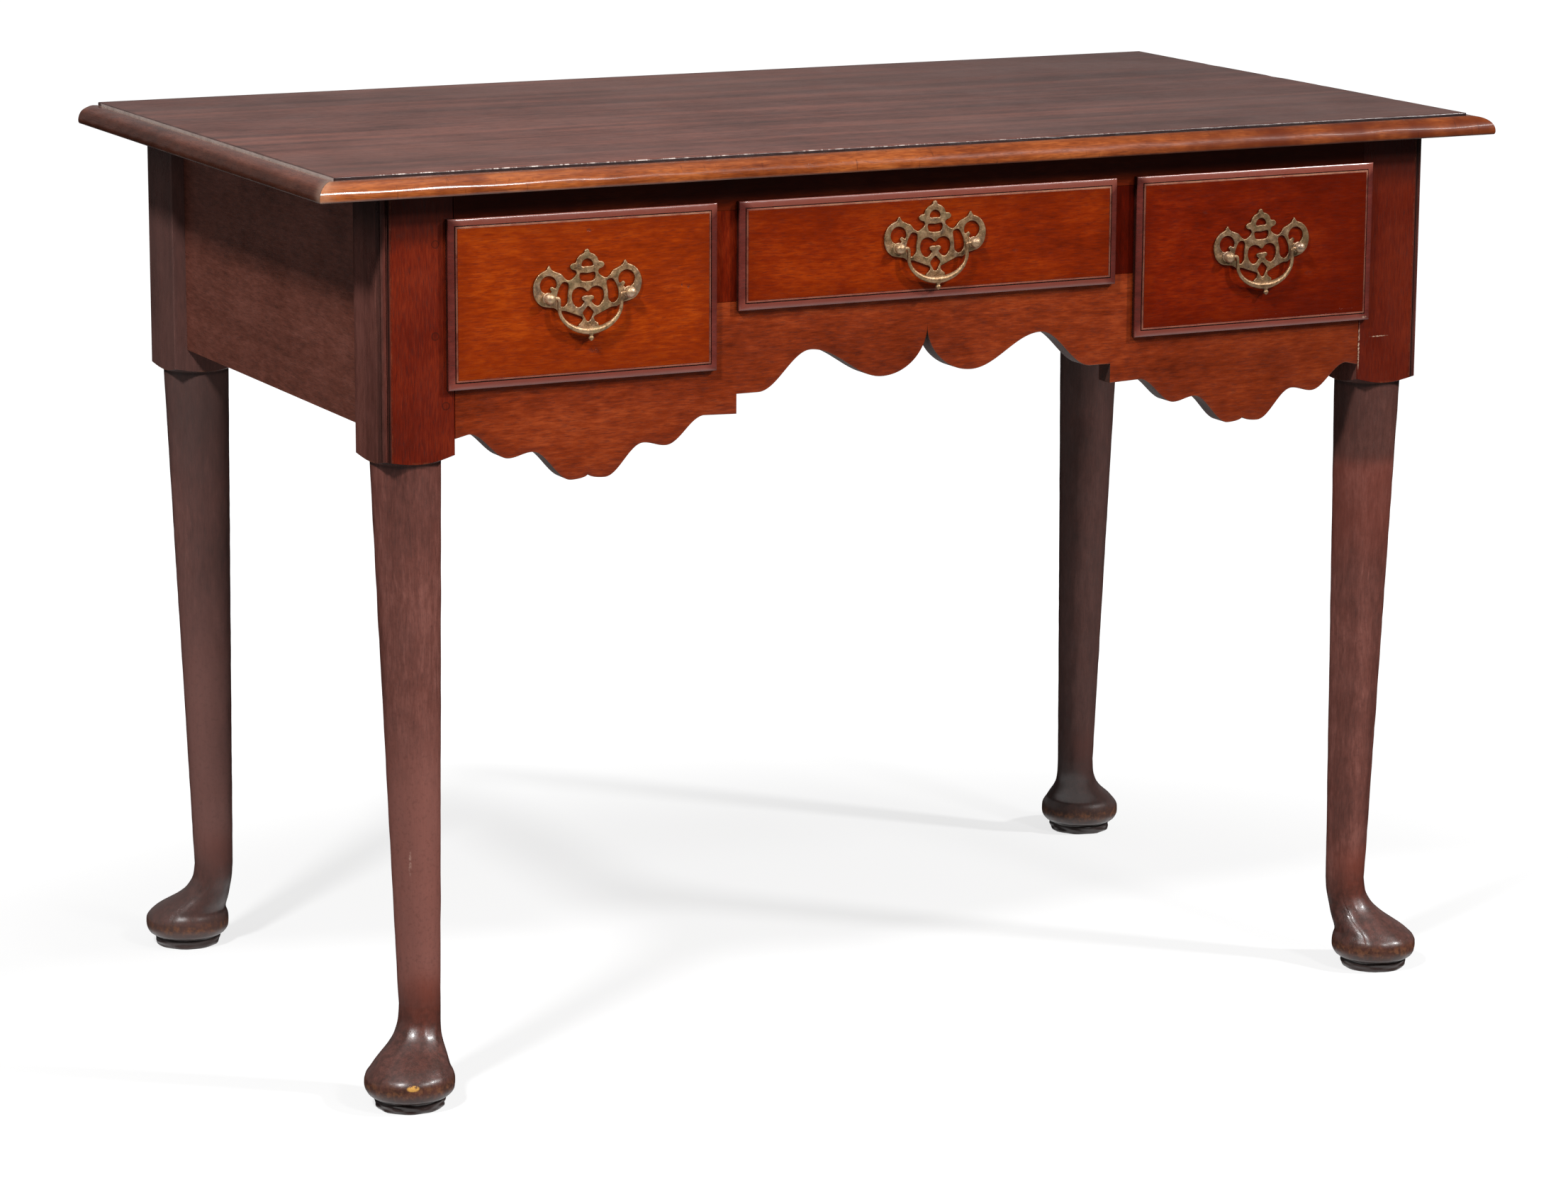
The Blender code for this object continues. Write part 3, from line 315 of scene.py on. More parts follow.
mahoganyLooks = {
    "topField": board("x", (0.056, 0.020, 0.015), (0.130, 0.045, 0.033), (0.232, 0.077, 0.053),
                      (1.0, 0.35, 0.5, 0.45), 0.33, 0.50, (0.3, 0.7, 0.1)),
    "frontMoulding": board("x", (0.095, 0.0150, 0.0030), (0.230, 0.0520, 0.0110), (0.420, 0.1200, 0.0290),
                           (0.5, 0.4, 0.6, 0.7), 0.24, 0.13, (1.1, 0.2, 0.4)),
    "sideMoulding": board("y", (0.052, 0.0150, 0.0090), (0.128, 0.0370, 0.0215), (0.215, 0.0680, 0.0400),
                          (0.5, 0.35, 0.5, 0.5), 0.21, 0.14, (0.6, 0.3, 0.9)),
    # the three fronts are painted darker from left to right: painted shade
    "drawerLeft": board("x", (0.140, 0.0120, 0.0008), (0.245, 0.0250, 0.0009), (0.385, 0.0550, 0.0022),
                        (0.35, 0.50, 0.7, 0.55), 0.26, 0.16, (0.2, 0.5, 2.3)),
    "drawerCentre": board("x", (0.100, 0.0075, 0.0006), (0.182, 0.0148, 0.0007), (0.300, 0.0350, 0.0015),
                          (0.35, 0.45, 0.6, 0.6), 0.26, 0.14, (3.2, 0.5, 1.3)),
    "drawerRight": board("x", (0.070, 0.0040, 0.0005), (0.143, 0.0086, 0.0006), (0.235, 0.0205, 0.0012),
                         (0.35, 0.45, 0.6, 0.7), 0.26, 0.15, (5.2, 0.5, 4.3)),
    "frontFrame": board("x", (0.090, 0.0100, 0.0018), (0.195, 0.0240, 0.0040), (0.320, 0.0520, 0.0110),
                        (0.3, 0.50, 0.7, 0.6), 0.28, 0.28, (7.2, 0.5, 5.3)),
    # the rail under the top: a darker, duller copy of the frame, painted shade
    "shadedRail": board("x", (0.070, 0.0070, 0.0012), (0.122, 0.0120, 0.0018), (0.200, 0.0280, 0.0050),
                       (0.3, 0.45, 0.5, 0.6), 0.34, 0.08, (7.2, 0.5, 5.3), 0.08),
    "frontUprights": board("z", (0.052, 0.0036, 0.0006), (0.112, 0.0068, 0.0008), (0.200, 0.0185, 0.0024),
                           (0.4, 0.45, 0.6, 0.6), 0.26, 0.12, (2.2, 4.5, 0.3)),
    # the right divider: a darker copy of the uprights, painted shade
    "darkUpright": board("z", (0.034, 0.0020, 0.0004), (0.068, 0.0034, 0.0005), (0.116, 0.0085, 0.0012),
                         (0.4, 0.45, 0.6, 0.6), 0.26, 0.08, (4.2, 1.5, 0.3)),
    "drawerEdge": board("x", (0.055, 0.0110, 0.0080), (0.108, 0.0180, 0.0130), (0.180, 0.0340, 0.0250),
                        (0.3, 0.3, 0.4, 0.6), 0.27, 0.55, (2.7, 1.5, 0.8), 0.10),
    "sidePanel": board("y", (0.066, 0.0190, 0.0115), (0.140, 0.0425, 0.0275), (0.225, 0.0760, 0.0530),
                       (0.4, 0.45, 0.6, 0.4), 0.36, 0.35, (0.9, 0.4, 3.3)),
    "legBlock": board("z", (0.062, 0.0200, 0.0140), (0.115, 0.0395, 0.0305), (0.180, 0.0650, 0.0500),
                      (0.6, 0.4, 0.6, 0.6), 0.28, 0.28, (0.4, 0.8, 1.7)),
    "legShaft": board("z", (0.078, 0.0250, 0.0185), (0.150, 0.0490, 0.0370), (0.250, 0.0920, 0.0720),
                      (0.6, 0.4, 0.6, 0.6), 0.33, 0.50, (0.4, 0.8, 1.7)),
}
grainScale = {
    # waves per metre along and across the grain
    "streak": (1.6, 46.0), "fleck": (62.0, 250.0), "fibre": (95.0, 900.0), "pore": (120.0, 1500.0),
}
grainApart = 7.0  # turns the small shifts of the looks into places far apart in the noise
woodLayers = {
    "sway": (5.0, 10 * mm),  # waves per metre, and how far they bend the grain
    "clouds": 11.0,
    "stops": (0.05, 0.50, 0.95),  # where the deep, main and bright colours lie
    "poreBand": (0.57, 0.66),
    "poreDark": 0.6,
}
polishLayers = {
    "waves": 34.0,
    "waveRough": 0.20,
    "poreRough": 0.10,
    "cloudRelief": (2.2 * mm, 0.30),  # depth and strength
    "fibreDepth": 0.12 * mm,
    "dentRelief": (0.6 * mm, 0.9),
    "coatBand": (0.35, 0.7),
    "coat": (0.03, 0.4),  # least, and most for a gloss of one
    "coatRough": 0.12,
    "coatLoss": 2.5,  # coat lost per unit of added roughness
}


def grainNoise(finish, where, look, kind, detail, rough=0.55):
    slow, quick = grainScale[kind]
    scale = tuple(slow if name == look["grain"] else quick for name in "xyz")
    shift = tuple(value * grainApart for value in look["shift"])
    return finish.noise(finish.stretch(where, scale, shift), 1.0, detail, rough)


class Wood(Finish):
    # mahogany: streaks, flecks, fibres and clouds summed round one half give the tone, under a mask of
    # pores; the colour is then tinted step by step, and polished last
    def __init__(self, name, poreShare=0.40):
        super().__init__(bpy.data.materials.new(name))
        self.look = look = mahoganyLooks[name]
        layers = woodLayers
        drift = self.noise(self.where, layers["sway"][0], 2.0, 0.5, "Color")
        drift = self.vector("SUBTRACT", drift, (0.5, 0.5, 0.5))
        bent = self.node("ShaderNodeVectorMath", {"operation": "SCALE"},
                         {0: drift, "Scale": layers["sway"][1]})
        swayed = self.vector("ADD", self.where, bent)
        streak = grainNoise(self, swayed, look, "streak", 4.0, 0.6)
        fleck = grainNoise(self, swayed, look, "fleck", 3.0, 0.65)
        self.fibre = grainNoise(self, swayed, look, "fibre", 2.0)
        self.pores = self.between(grainNoise(self, swayed, look, "pore", 1.0), *layers["poreBand"])
        moved = self.stretch(self.where, (1, 1, 1), look["shift"])
        self.cloud = self.noise(moved, layers["clouds"], 4.0, 0.62)
        tone = (0.5 + (streak - 0.5) * (2.0 * look["streak"]) + (fleck - 0.5) * (2.0 * look["fleck"])
                + (self.fibre - 0.5) * look["fibre"] + (self.cloud - 0.5) * (2.0 * look["cloud"]))
        colours = [look[key] for key in ("deep", "main", "bright")]
        self.colour = self.ramp(tone, list(zip(layers["stops"], colours)))
        self.tint(self.pores * poreShare, tuple(value * layers["poreDark"] for value in look["deep"]))

    def tint(self, share, tone):
        self.colour = self.mix(share, self.colour, tone)

    def shade(self, name, low, high, share, tone=None):
        # a change of tone along one axis, to the deep colour if no other is given
        self.tint(self.along(name, low, high) * share, tone or self.look["deep"])

    def polish(self, dents=None, shine=None, dull=None):
        # french polish over open grain: fine fibre relief, slow waves and uneven gloss
        look, layers = self.look, polishLayers
        waves = self.noise(self.where, layers["waves"], 3.0, 0.6)
        rough = look["rough"] + (waves - 0.5) * layers["waveRough"] + self.pores * layers["poreRough"]
        normal = self.bump(self.cloud, *layers["cloudRelief"])
        normal = self.bump(self.fibre + self.pores * -0.6, layers["fibreDepth"], look["relief"], normal)
        if dents:
            normal = self.bump(dents, *layers["dentRelief"], normal)
        least, most = layers["coat"]
        coat = self.between(self.cloud, *layers["coatBand"], least, most * look["gloss"])
        if shine:
            coat = coat + shine
        if dull:
            rough = rough + dull
            coat = coat * (1 - dull * layers["coatLoss"])
        self.feed(Base_Color=self.colour, Roughness=rough, Normal=normal, Specular_IOR_Level=look["gloss"],
                  Coat_Roughness=layers["coatRough"], Coat_Weight=coat)
        return self.owner


edgeWear = {
    # rubbed colour, also laid as painted highlights; colour of the painted shade and dirt; and how much
    # rubbing its least worn patches show
    "frontMoulding": ((0.46, 0.22, 0.12), (0.020, 0.009, 0.006), 0.25),
    "sideMoulding": ((0.62, 0.47, 0.36), (0.022, 0.009, 0.006), 0.70),
    "drawerEdge": ((0.42, 0.20, 0.12), (0.010, 0.004, 0.003), 0.25),
    "frontFrame": ((0.30, 0.075, 0.022), (0.030, 0.018, 0.014), 0.25),
    "shadedRail": ((0.30, 0.075, 0.022), (0.030, 0.018, 0.014), 0.25),
}
edgeChip = ((0.4067, -0.2655, 0.5646), (2.6, 3.0, 1.6))  # on the right drawer's lip: centre, half sizes in mm


def wornMahogany(name):
    # a moulding or carved edge: rubbed, with painted highlights, where the piece's wear mark is high; dark
    # with painted shade and dirt where its grime mark is
    wood = Wood(name)
    shine = dull = None
    if name == "frontMoulding":  # polished toward the left only, with painted shade in mottled patches on the right, short cracks across
        mottle = wood.patches(22.0, 3.0, 0.6, 0.35, 0.65, 0.2, 1.0)
        # painted shade: darker to the right, in mottled patches
        wood.tint(wood.along("x", 0.10, 0.34) * mottle, wood.look["deep"])
        wood.tint(wood.patches((420.0, 60.0, 60.0), 2.0, 0.55, 0.66, 0.73) * 0.45, (0.045, 0.008, 0.004))
        dull = wood.along("x", -0.10, 0.20) * 0.20
        shine = wood.along("x", 0.05, -0.45) * 0.90
    elif name == "sideMoulding":  # polished on the upper part of its round
        shine = wood.attribute("level") * 0.60
    elif name == "drawerEdge":  # the lengths that lie level carry more coat and are painted redder and brighter: a painted highlight, strongest on the upper one
        level = wood.attribute("level")
        shine = level * 0.6
        # painted highlight on the level lengths
        wood.tint(level * 0.70, (0.340, 0.088, 0.058))
        chip = wood.spot(*edgeChip, 0.4) * wood.patches(520.0, 3.0, 0.6, 0.42, 0.58)
        wood.tint(chip * 0.75, (0.42, 0.28, 0.20))
    else:  # painted shade: apron and rail darker to the right, and a painted shadow of the top's overhang on the rail
        wood.shade("x", 0.05, 0.45, 0.40)
        wood.shade("z", 0.688, 0.697, 0.80, (0.008, 0.003, 0.002))
    if name == "frontFrame":
        dull = wood.attribute("grime") * 0.35
    rubbed, shadeAndDirt, least = edgeWear[name]
    patch = wood.patches(75.0, 4.0, 0.65, 0.36, 0.60, least, 1.0)
    # rubbed colour: real wear, and painted highlights on the pale fillets
    wood.tint(wood.attribute("wear") * patch, rubbed)
    # painted shade, with dirt in the front's joint
    wood.tint(wood.attribute("grime") * (0.75 + patch * 0.25), shadeAndDirt)
    return wood.polish(None, shine, dull)


brassLook = {"deep": (0.070, 0.036, 0.016), "main": (0.350, 0.198, 0.096), "bright": (0.660, 0.435, 0.250),
             "green": (0.180, 0.145, 0.068), "pink": (0.480, 0.350, 0.270)}


def agedBrass(name, polish):
    # cast brass gone brown, green and pink in patches, with painted shade darker toward the right; polish is
    # 0 or 1
    look = brassLook
    finish = newFinish(name)
    cloud = finish.noise(finish.where, 190.0, 4.0, 0.65)
    fine = finish.noise(finish.where, 900.0, 3.0, 0.6)
    stain = finish.noise(finish.stretch(finish.where, (1, 1, 1), (0.3, 0.1, 0.7)), 110.0, 3.0, 0.6)
    colour = finish.ramp(cloud * 0.7 + fine * 0.3 + polish * 0.12,
                         [(0.30, look["deep"]), (0.48, look["main"]), (0.70, look["bright"])])
    pink = finish.between(stain, 0.50 + 0.10 * polish, 0.34) * (0.3 + 0.5 * polish)
    # the last tint is painted shade, darker toward the right
    tints = [(finish.between(stain, 0.50, 0.66) * 0.5, "green"), (pink, "pink"),
             (finish.attribute("grime") * 0.85, "deep"), (finish.along("x", -0.25, 0.25) * 0.36, "deep")]
    for share, tone in tints:
        colour = finish.mix(share, colour, look[tone])
    normal = finish.bump(cloud, (1.3 + 0.2 * polish) * mm, 0.6)
    finish.feed(Base_Color=colour, Roughness=0.44 + (cloud - 0.5) * 0.35,
                Metallic=finish.between(stain, 0.30, 0.60, 0.85, 0.60),
                Normal=finish.bump(fine, 0.12 * mm, 0.4, normal))
    return finish.owner


oakLook = {"deep": (0.150, 0.062, 0.022), "main": (0.335, 0.165, 0.068), "bright": (0.480, 0.270, 0.125),
           "soil": (0.060, 0.034, 0.018), "streak": 1.6, "fibre": 0.7}


def oak(name, grain, shift):
    # bare oak of the inside: streaks and open pores, soiled in patches
    look = {**oakLook, "grain": grain, "shift": shift}
    finish = newFinish(name)
    streak = grainNoise(finish, finish.where, look, "streak", 5.0, 0.6)
    fibre = grainNoise(finish, finish.where, look, "fibre", 3.0)
    pore = grainNoise(finish, finish.where, look, "pore", 1.0)
    soil = finish.noise(finish.where, 7.0, 4.0, 0.6)
    tone = 0.5 + (streak - 0.5) * look["streak"] + (fibre - 0.5) * look["fibre"]
    colour = finish.ramp(tone, [(0.1, look["deep"]), (0.5, look["main"]), (0.9, look["bright"])])
    colour = finish.mix(finish.between(pore, 0.56, 0.64) * 0.6, colour, look["deep"])
    colour = finish.mix(finish.between(soil, 0.50, 0.72) * 0.55, colour, look["soil"])
    finish.feed(Base_Color=colour, Roughness=0.66 + (soil - 0.5) * 0.2,
                Normal=finish.bump(streak + fibre * 0.7, 0.6 * mm, 0.35))
    return finish.owner


# Meshes from arrays

def easedThrough(at, knots, values):
    # a smooth curve that passes through every knot without overshooting (monotone cubic)
    knots, values = np.asarray(knots, float), np.asarray(values, float)
    step = np.diff(knots)
    slope = np.diff(values) / step
    tangent = np.zeros_like(values)
    same = slope[:-1] * slope[1:] > 0
    tangent[1:-1][same] = 2 * (slope[:-1] * slope[1:])[same] / (slope[:-1] + slope[1:])[same]
    tangent[0], tangent[-1] = slope[0], slope[-1]
    span = np.clip(np.searchsorted(knots, at, "right") - 1, 0, len(step) - 1)
    share = (at - knots[span]) / step[span]
    first = (1 + 2 * share) * (1 - share) ** 2
    last = share ** 2 * (3 - 2 * share)
    return (values[span] * first + values[span + 1] * last + step[span] * share * (1 - share)
            * (tangent[span] * (1 - share) - tangent[span + 1] * share))


def roundedLoop(points, perSpan, closed=True):
    # a centripetal curve through given points: rounder than straight runs, without bulges
    points = np.asarray(points, float)
    if closed:
        padded = np.vstack([points[-1], points, points[:2]])
    else:
        padded = np.vstack([2 * points[0] - points[1], points, 2 * points[-1] - points[-2]])
    before, start, end, after = padded[:-3], padded[1:-2], padded[2:-1], padded[3:]
    gaps = [np.sqrt(np.linalg.norm(b - a, axis=1))[:, None] + 1e-9
            for a, b in ((before, start), (start, end), (end, after))]
    inward = gaps[1] * ((start - before) / gaps[0] - (end - before) / (gaps[0] + gaps[1])) + (end - start)
    outward = gaps[1] * ((after - end) / gaps[2] - (after - start) / (gaps[1] + gaps[2])) + (end - start)
    share = np.linspace(0, 1, perSpan, endpoint=False)[None, :, None]
    start, end, inward, outward = (value[:, None, :] for value in (start, end, inward, outward))
    curve = ((2 * share ** 3 - 3 * share ** 2 + 1) * start + (share ** 3 - 2 * share ** 2 + share) * inward
             + (3 * share ** 2 - 2 * share ** 3) * end + (share ** 3 - share ** 2) * outward)
    curve = curve.reshape(-1, points.shape[1])
    return curve if closed else np.vstack([curve, points[-1]])


def ripple(along, around, seed, waves=5, lowest=4.0, highest=22.0):
    # a sum of a few slow sine waves over two coordinates, about -1 to 1
    random = np.random.default_rng(seed)
    total = np.zeros(np.broadcast(along, around).shape)
    for index in range(waves):
        pace = random.uniform(lowest, highest, 2)
        phase = random.uniform(0, 2 * np.pi, 2)
        total = total + np.sin(pace[0] * along + phase[0]) * np.sin(pace[1] * around + phase[1])
    return total / waves ** 0.5


def insideOut(points, faces):
    # the sign of the volume, from each face's fan of two triangles
    first, second, third, fourth = (points[faces[:, corner]] for corner in range(4))
    fans = np.cross(second, third) + np.cross(third, fourth)
    return np.einsum("ij,ij->i", first, fans).sum() < 0


def setMark(mesh, name, values):
    layer = mesh.attributes.new(name, "FLOAT", "POINT")
    layer.data.foreach_set("value", values.astype(np.float32).ravel())


def finishMesh(mesh, sharp, materials):
    mesh.shade_smooth()
    mesh.set_sharp_from_angle(angle=math.radians(sharp))
    mesh.materials.clear()
    for material in materials:
        mesh.materials.append(material)


def gridPiece(name, grid, materials, ringAlong=False, marks=None, sharp=35):
    # rows of points, each a closed ring, joined by four-sided faces; open rows end in flat caps
    rows, columns = grid.shape[:2]
    index = np.arange(rows * columns).reshape(rows, columns)
    wrapped = np.hstack([index, index[:, :1]])
    if ringAlong:
        wrapped = np.vstack([wrapped, wrapped[:1]])
    quads = np.stack([wrapped[:-1, :-1], wrapped[1:, :-1], wrapped[1:, 1:], wrapped[:-1, 1:]], -1)
    quads = quads.reshape(-1, 4)
    points = grid.reshape(-1, 3)
    caps = [] if ringAlong else [index[0], index[-1][::-1]]
    if insideOut(points - points.mean(0), quads):
        quads = quads[:, ::-1]
        caps = [cap[::-1] for cap in caps]
    mesh = bpy.data.meshes.new(name)
    mesh.from_pydata(points.tolist(), [], quads.tolist() + [cap.tolist() for cap in caps])
    for key, value in (marks or {}).items():
        setMark(mesh, key, np.broadcast_to(value, (rows, columns)))
    finishMesh(mesh, sharp, materials)
    return added(name, mesh)


def dress(piece, body, slot, *replaced):
    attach(piece, body)
    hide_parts(*replaced)
    return piece


def faceSpan(node):
    low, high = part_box(node)
    return np.array(low), np.array(high)


# Legs

legShape = {
    "blockBottom": 0.5062,
    "blockHalf": 29.0 * mm,
    "cornerRound": 0.9 * mm,
    "shoulderRise": 6.8 * mm,
    # share of that rise at the corners: mean, change toward the outer side, change toward the front
    "shoulderTilt": (0.62, -0.113, 0.198),
    "shoulderEase": 3 * mm,  # over the rise, where the rings of the block lie level again
    "topRadius": 27.9 * mm,
    "ledge": 0.7 * mm,  # how far the shaft stands in from the shoulder
    "ankleRadius": 16.2 * mm,
    "ankleHeight": 74 * mm,
    "ankleInward": 7.0 * mm,
    "footOutX": 10.4 * mm,
    "footOutY": 20.6 * mm,
    "footRadius": 35.3 * mm,
    "soleHeight": 7.2 * mm,
    "wander": 0.22 * mm,  # unevenness of the turning
    "soleWear": 0.55 * mm,  # and of the worn sole
    "waves": (9, 160),  # how fast each changes with height
    "footRings": ((1.2, 12.0, 0.6), (12.0, 34.0, 1.1), (34.0, 80.0, 2.0)),  # from, to and apart, in mm
    "shaftStep": 7 * mm,
    # bands, as height and width in mm: worn colour on the foot's rim, painted shade in the groove over its
    # pad and below the top of the pad; then a painted highlight on the block's lower arris and painted shade
    # in the crease under it, measured from that arris
    "bands": {"rim": (19.0, 5.0), "groove": (8.2, 1.2), "pad": 7.4, "arris": (0.3, 0.5),
              "crease": (-1.6, 1.4)},
    # cuts on the outer corner of a front leg: distance from the corner, depth, half width in mm
    "cuts": {"side": {"scribed": (13.5, 0.35, 0.6), "groove": (5.3, 1.3, 1.15), "dark": 13.0},
             "front": {"scribed": (7.1, 0.25, 0.5), "groove": (4.6, 1.3, 1.15), "dark": 6.5}},
    "cutFloor": 0.45,  # half width of a cut's floor, as a share of its own
    "cutMargin": 0.4 * mm,
    "beadRadius": 3.4 * mm,
    "faceStep": 3.2 * mm,
    # foot and ankle: height, radius, share of the way from the foot's axis to the ankle's
    "stations": ((0.0, 25.9, 0), (1.2, 26.7, 0), (6.6, 27.6, 0), (7.6, 27.2, 0), (8.3, 27.5, 0),
                 (9.6, 30.4, 0), (12.0, 33.1, 0), (16.0, 35.0, 0), (19.0, 35.3, 0), (22.5, 35.2, 0),
                 (26.3, 34.1, 0.02), (30.7, 31.2, 0.08), (35.1, 28.6, 0.21), (39.4, 25.7, 0.38),
                 (45.0, 21.9, 0.59), (53.0, 18.3, 0.80), (63.0, 16.6, 0.95), (74.0, 16.2, 1.0)),
    "seeds": {(-1, -1): 3, (1, -1): 5, (-1, 1): 7, (1, 1): 11},
}


def cutPoints(cut):
    # rim, floor, floor and rim of a cut: distance back from the corner and depth
    at, deep, wide = cut
    floor = legShape["cutFloor"] * wide
    return [(at - wide, 0), (at - floor, deep), (at + floor, deep), (at + wide, 0)]


def blockPlan(shape, beaded):
    # plan of the block, as points from one inner corner round: eased corners, and on the outer corner of
    # a front leg a bead between two grooves, with a scribed line beyond each
    half, rounding = shape["blockHalf"], shape["cornerRound"]

    def eased(signX, signY):
        turn = np.linspace(0, quarterTurn, 5)[:, None]
        centre = np.array([signX * half - signX * rounding, signY * half - signY * rounding])
        return centre + rounding * (np.cos(turn) * (signX, 0.0) + np.sin(turn) * (0.0, signY))

    def straight(start, end):
        count = max(2, int(np.linalg.norm(np.subtract(end, start)) / shape["faceStep"]))
        share = np.linspace(0, 1, count, endpoint=False)[1:, None]
        return np.asarray(start) * (1 - share) + np.asarray(end) * share

    edge = half - rounding
    run = [eased(-1, 1)[::-1], straight((-half, edge), (-half, -edge)), eased(-1, -1),
           straight((-edge, -half), (edge, -half)), eased(1, -1)[::-1]]
    if not beaded:
        run += [straight((half, -edge), (half, edge)), eased(1, 1), straight((edge, half), (-edge, half))]
        return np.vstack(run)
    side, front = shape["cuts"]["side"], shape["cuts"]["front"]
    sideCuts = np.array([cutPoints(side[key])[::-1] for key in ("scribed", "groove")]).reshape(-1, 2) * mm
    frontCuts = np.array([cutPoints(front[key]) for key in ("groove", "scribed")]).reshape(-1, 2) * mm
    bead = np.linspace(0, quarterTurn, 9)
    reach, margin = shape["beadRadius"], shape["cutMargin"]
    run += [straight((half, -edge), (half, half - sideCuts[0, 0] - margin)),
            half - sideCuts[:, ::-1],
            half - reach + reach * np.column_stack([np.cos(bead), np.sin(bead)]),
            half - frontCuts,
            straight((half - frontCuts[-1, 0] - margin, half), (-edge, half))]
    return np.vstack(run)


def shaftRows(bottom):
    # heights of the rings, closest together on the foot and under the shoulder
    rings = legShape["footRings"]
    return np.concatenate([[0.0, 0.6 * mm], *(np.arange(*run) * mm for run in rings),
                           np.arange(rings[-1][1] * mm, bottom - 6 * mm, legShape["shaftStep"]),
                           np.linspace(bottom - 5 * mm, bottom - 0.3 * mm, 8), [bottom - 0.05 * mm]])


def turnedRings(shape, angle, seed):
    # level rings about an axis that moves from the foot's to the ankle's, then up the taper to the block's
    bottom, ankle = shape["blockBottom"], shape["ankleHeight"]
    height = shaftRows(bottom)[:, None]
    stations = np.array(shape["stations"])
    foot = easedThrough(height / mm, stations[:, 0], stations[:, 1]) * mm
    share = np.clip(easedThrough(height / mm, stations[:, 0], stations[:, 2]), 0, 1)
    climb = np.clip((height - ankle) / (bottom - ankle), 0, 1)
    shaft = shape["ankleRadius"] + (shape["topRadius"] - shape["ledge"] - shape["ankleRadius"]) * climb
    onFoot = height < ankle
    shiftX = np.where(onFoot, shape["footOutX"] * (1 - share) - shape["ankleInward"] * share,
                      -shape["ankleInward"] * (1 - climb))
    shiftY = np.where(onFoot, shape["footOutY"] * (1 - share), 0.0)
    slow, quick = shape["waves"]
    uneven = ripple(height * slow, np.sin(angle) * 2 + np.cos(angle), seed) * shape["wander"]
    worn = ripple(height * quick, angle * 1.0, seed + 1, 6, 1.0, 9.0) * shape["soleWear"]
    radial = (np.where(onFoot, foot, shaft) + uneven * np.clip((bottom - height) / (20 * mm), 0, 1)
              + np.where(height < shape["soleHeight"], worn, 0))
    x, y = radial * np.cos(angle) + shiftX, radial * np.sin(angle) + shiftY
    return np.stack([x, y, height + 0 * radial], -1)


def squaredRings(shape, angle, reach, end, top):
    # shoulder and block: every direction has heights of its own, so that the cone ends on the block's faces
    bottom, radius = shape["blockBottom"], shape["topRadius"]
    slope = (shape["blockHalf"] * math.sqrt(2) - radius) / shape["shoulderRise"]
    mean, outward, forward = shape["shoulderTilt"]
    tilt = mean + outward * np.cos(angle) - forward * end * np.sin(angle)
    crease = bottom + (reach - radius) / slope * tilt
    level = bottom + shape["shoulderRise"] + shape["shoulderEase"]
    part = np.linspace(0, 1, 9)[:, None]
    lower = part[1:6] / part[5]
    rows = [(radius + (reach - radius) * part, bottom + (crease - bottom) * part),
            (reach + 0 * lower, crease + (level - crease) * lower),
            (reach + 0 * part, level + (top - level) * part)]
    return np.concatenate([np.stack([r * np.cos(angle), r * np.sin(angle), z + 0 * r], -1) for r, z in rows])


def legWear(shape, plan, angle, end, z):
    # wear on the rim of the foot and the scribed lines, a painted highlight on the shoulder's arris; painted
    # shade in the creases and grooves
    half, bottom = shape["blockHalf"], shape["blockBottom"]
    outer = (plan[:, 0] > 0) * (plan[:, 1] > 0) * (end < 0)
    lines, grooves, corner = np.zeros((3, len(plan)))
    for axis, cuts in enumerate((shape["cuts"]["side"], shape["cuts"]["front"])):
        away = (half - plan[:, 1 - axis]) / mm
        here = outer * (plan[:, axis] > half - 1.6 * mm)
        lines = np.maximum(lines, here * (np.abs(away - cuts["scribed"][0]) < 0.35))
        grooves = np.maximum(grooves, here * np.clip(1.5 - np.abs(away - cuts["groove"][0]), 0, 1))
        corner = np.maximum(corner, here * (away < cuts["dark"]))

    def band(key, base=0.0):
        height, width = shape["bands"][key]
        return np.exp(-((z - base - height * mm) / (width * mm)) ** 2)

    inBlock = z > bottom + 0.5 * mm
    # worn rims and scribed lines, and a painted highlight on the block's lower arris
    worn = band("rim") + 0.4 * lines * inBlock + 0.7 * band("arris", bottom)
    # painted shade in the grooves, the crease under the block, near the outer corner and under the foot
    under = (band("groove") + (z < shape["bands"]["pad"] * mm) * 0.35 + 0.6 * band("crease", bottom)
             + (grooves * 0.8 + corner * 0.16) * inBlock)
    return {"wear": np.clip(worn, 0, 1), "grime": np.clip(under, 0, 1), "corner": corner + 0 * z,
            "forward": np.clip(np.sin(angle) * -end, 0, 1) + 0 * z}


def makeLeg(name, side, end, materials):
    # rings in polar form, outward along +X and, in front, forward along +Y, then mirrored into place
    shape = legShape
    low, high = faceSpan(name)
    axisX = side * (abs(low[0] if side < 0 else high[0]) - shape["footOutX"] - shape["footRadius"])
    axisY = end * (abs(low[1] if end < 0 else high[1]) - shape["footOutY"] - shape["footRadius"])
    plan = blockPlan(shape, end < 0)
    plan = plan[np.argsort(np.arctan2(plan[:, 1], plan[:, 0]))]
    angle, reach = np.arctan2(plan[:, 1], plan[:, 0]), np.hypot(plan[:, 0], plan[:, 1])
    grid = np.concatenate([turnedRings(shape, angle, shape["seeds"][(side, end)]),
                           squaredRings(shape, angle, reach, end, high[2])])
    marks = legWear(shape, plan, angle, end, grid[..., 2])
    grid = grid * (side, end, 1) + (axisX, axisY, 0)
    piece = gridPiece(f"turned_{name}", grid, materials, marks=marks, sharp=32)
    centres = np.empty(len(piece.data.polygons) * 3)
    piece.data.polygons.foreach_get("center", centres)
    onShaft = centres[2::3] < shape["blockBottom"]
    piece.data.polygons.foreach_set("material_index", onShaft.astype(np.int32))
    return dress(piece, "carcase", "mahogany_dark", name)


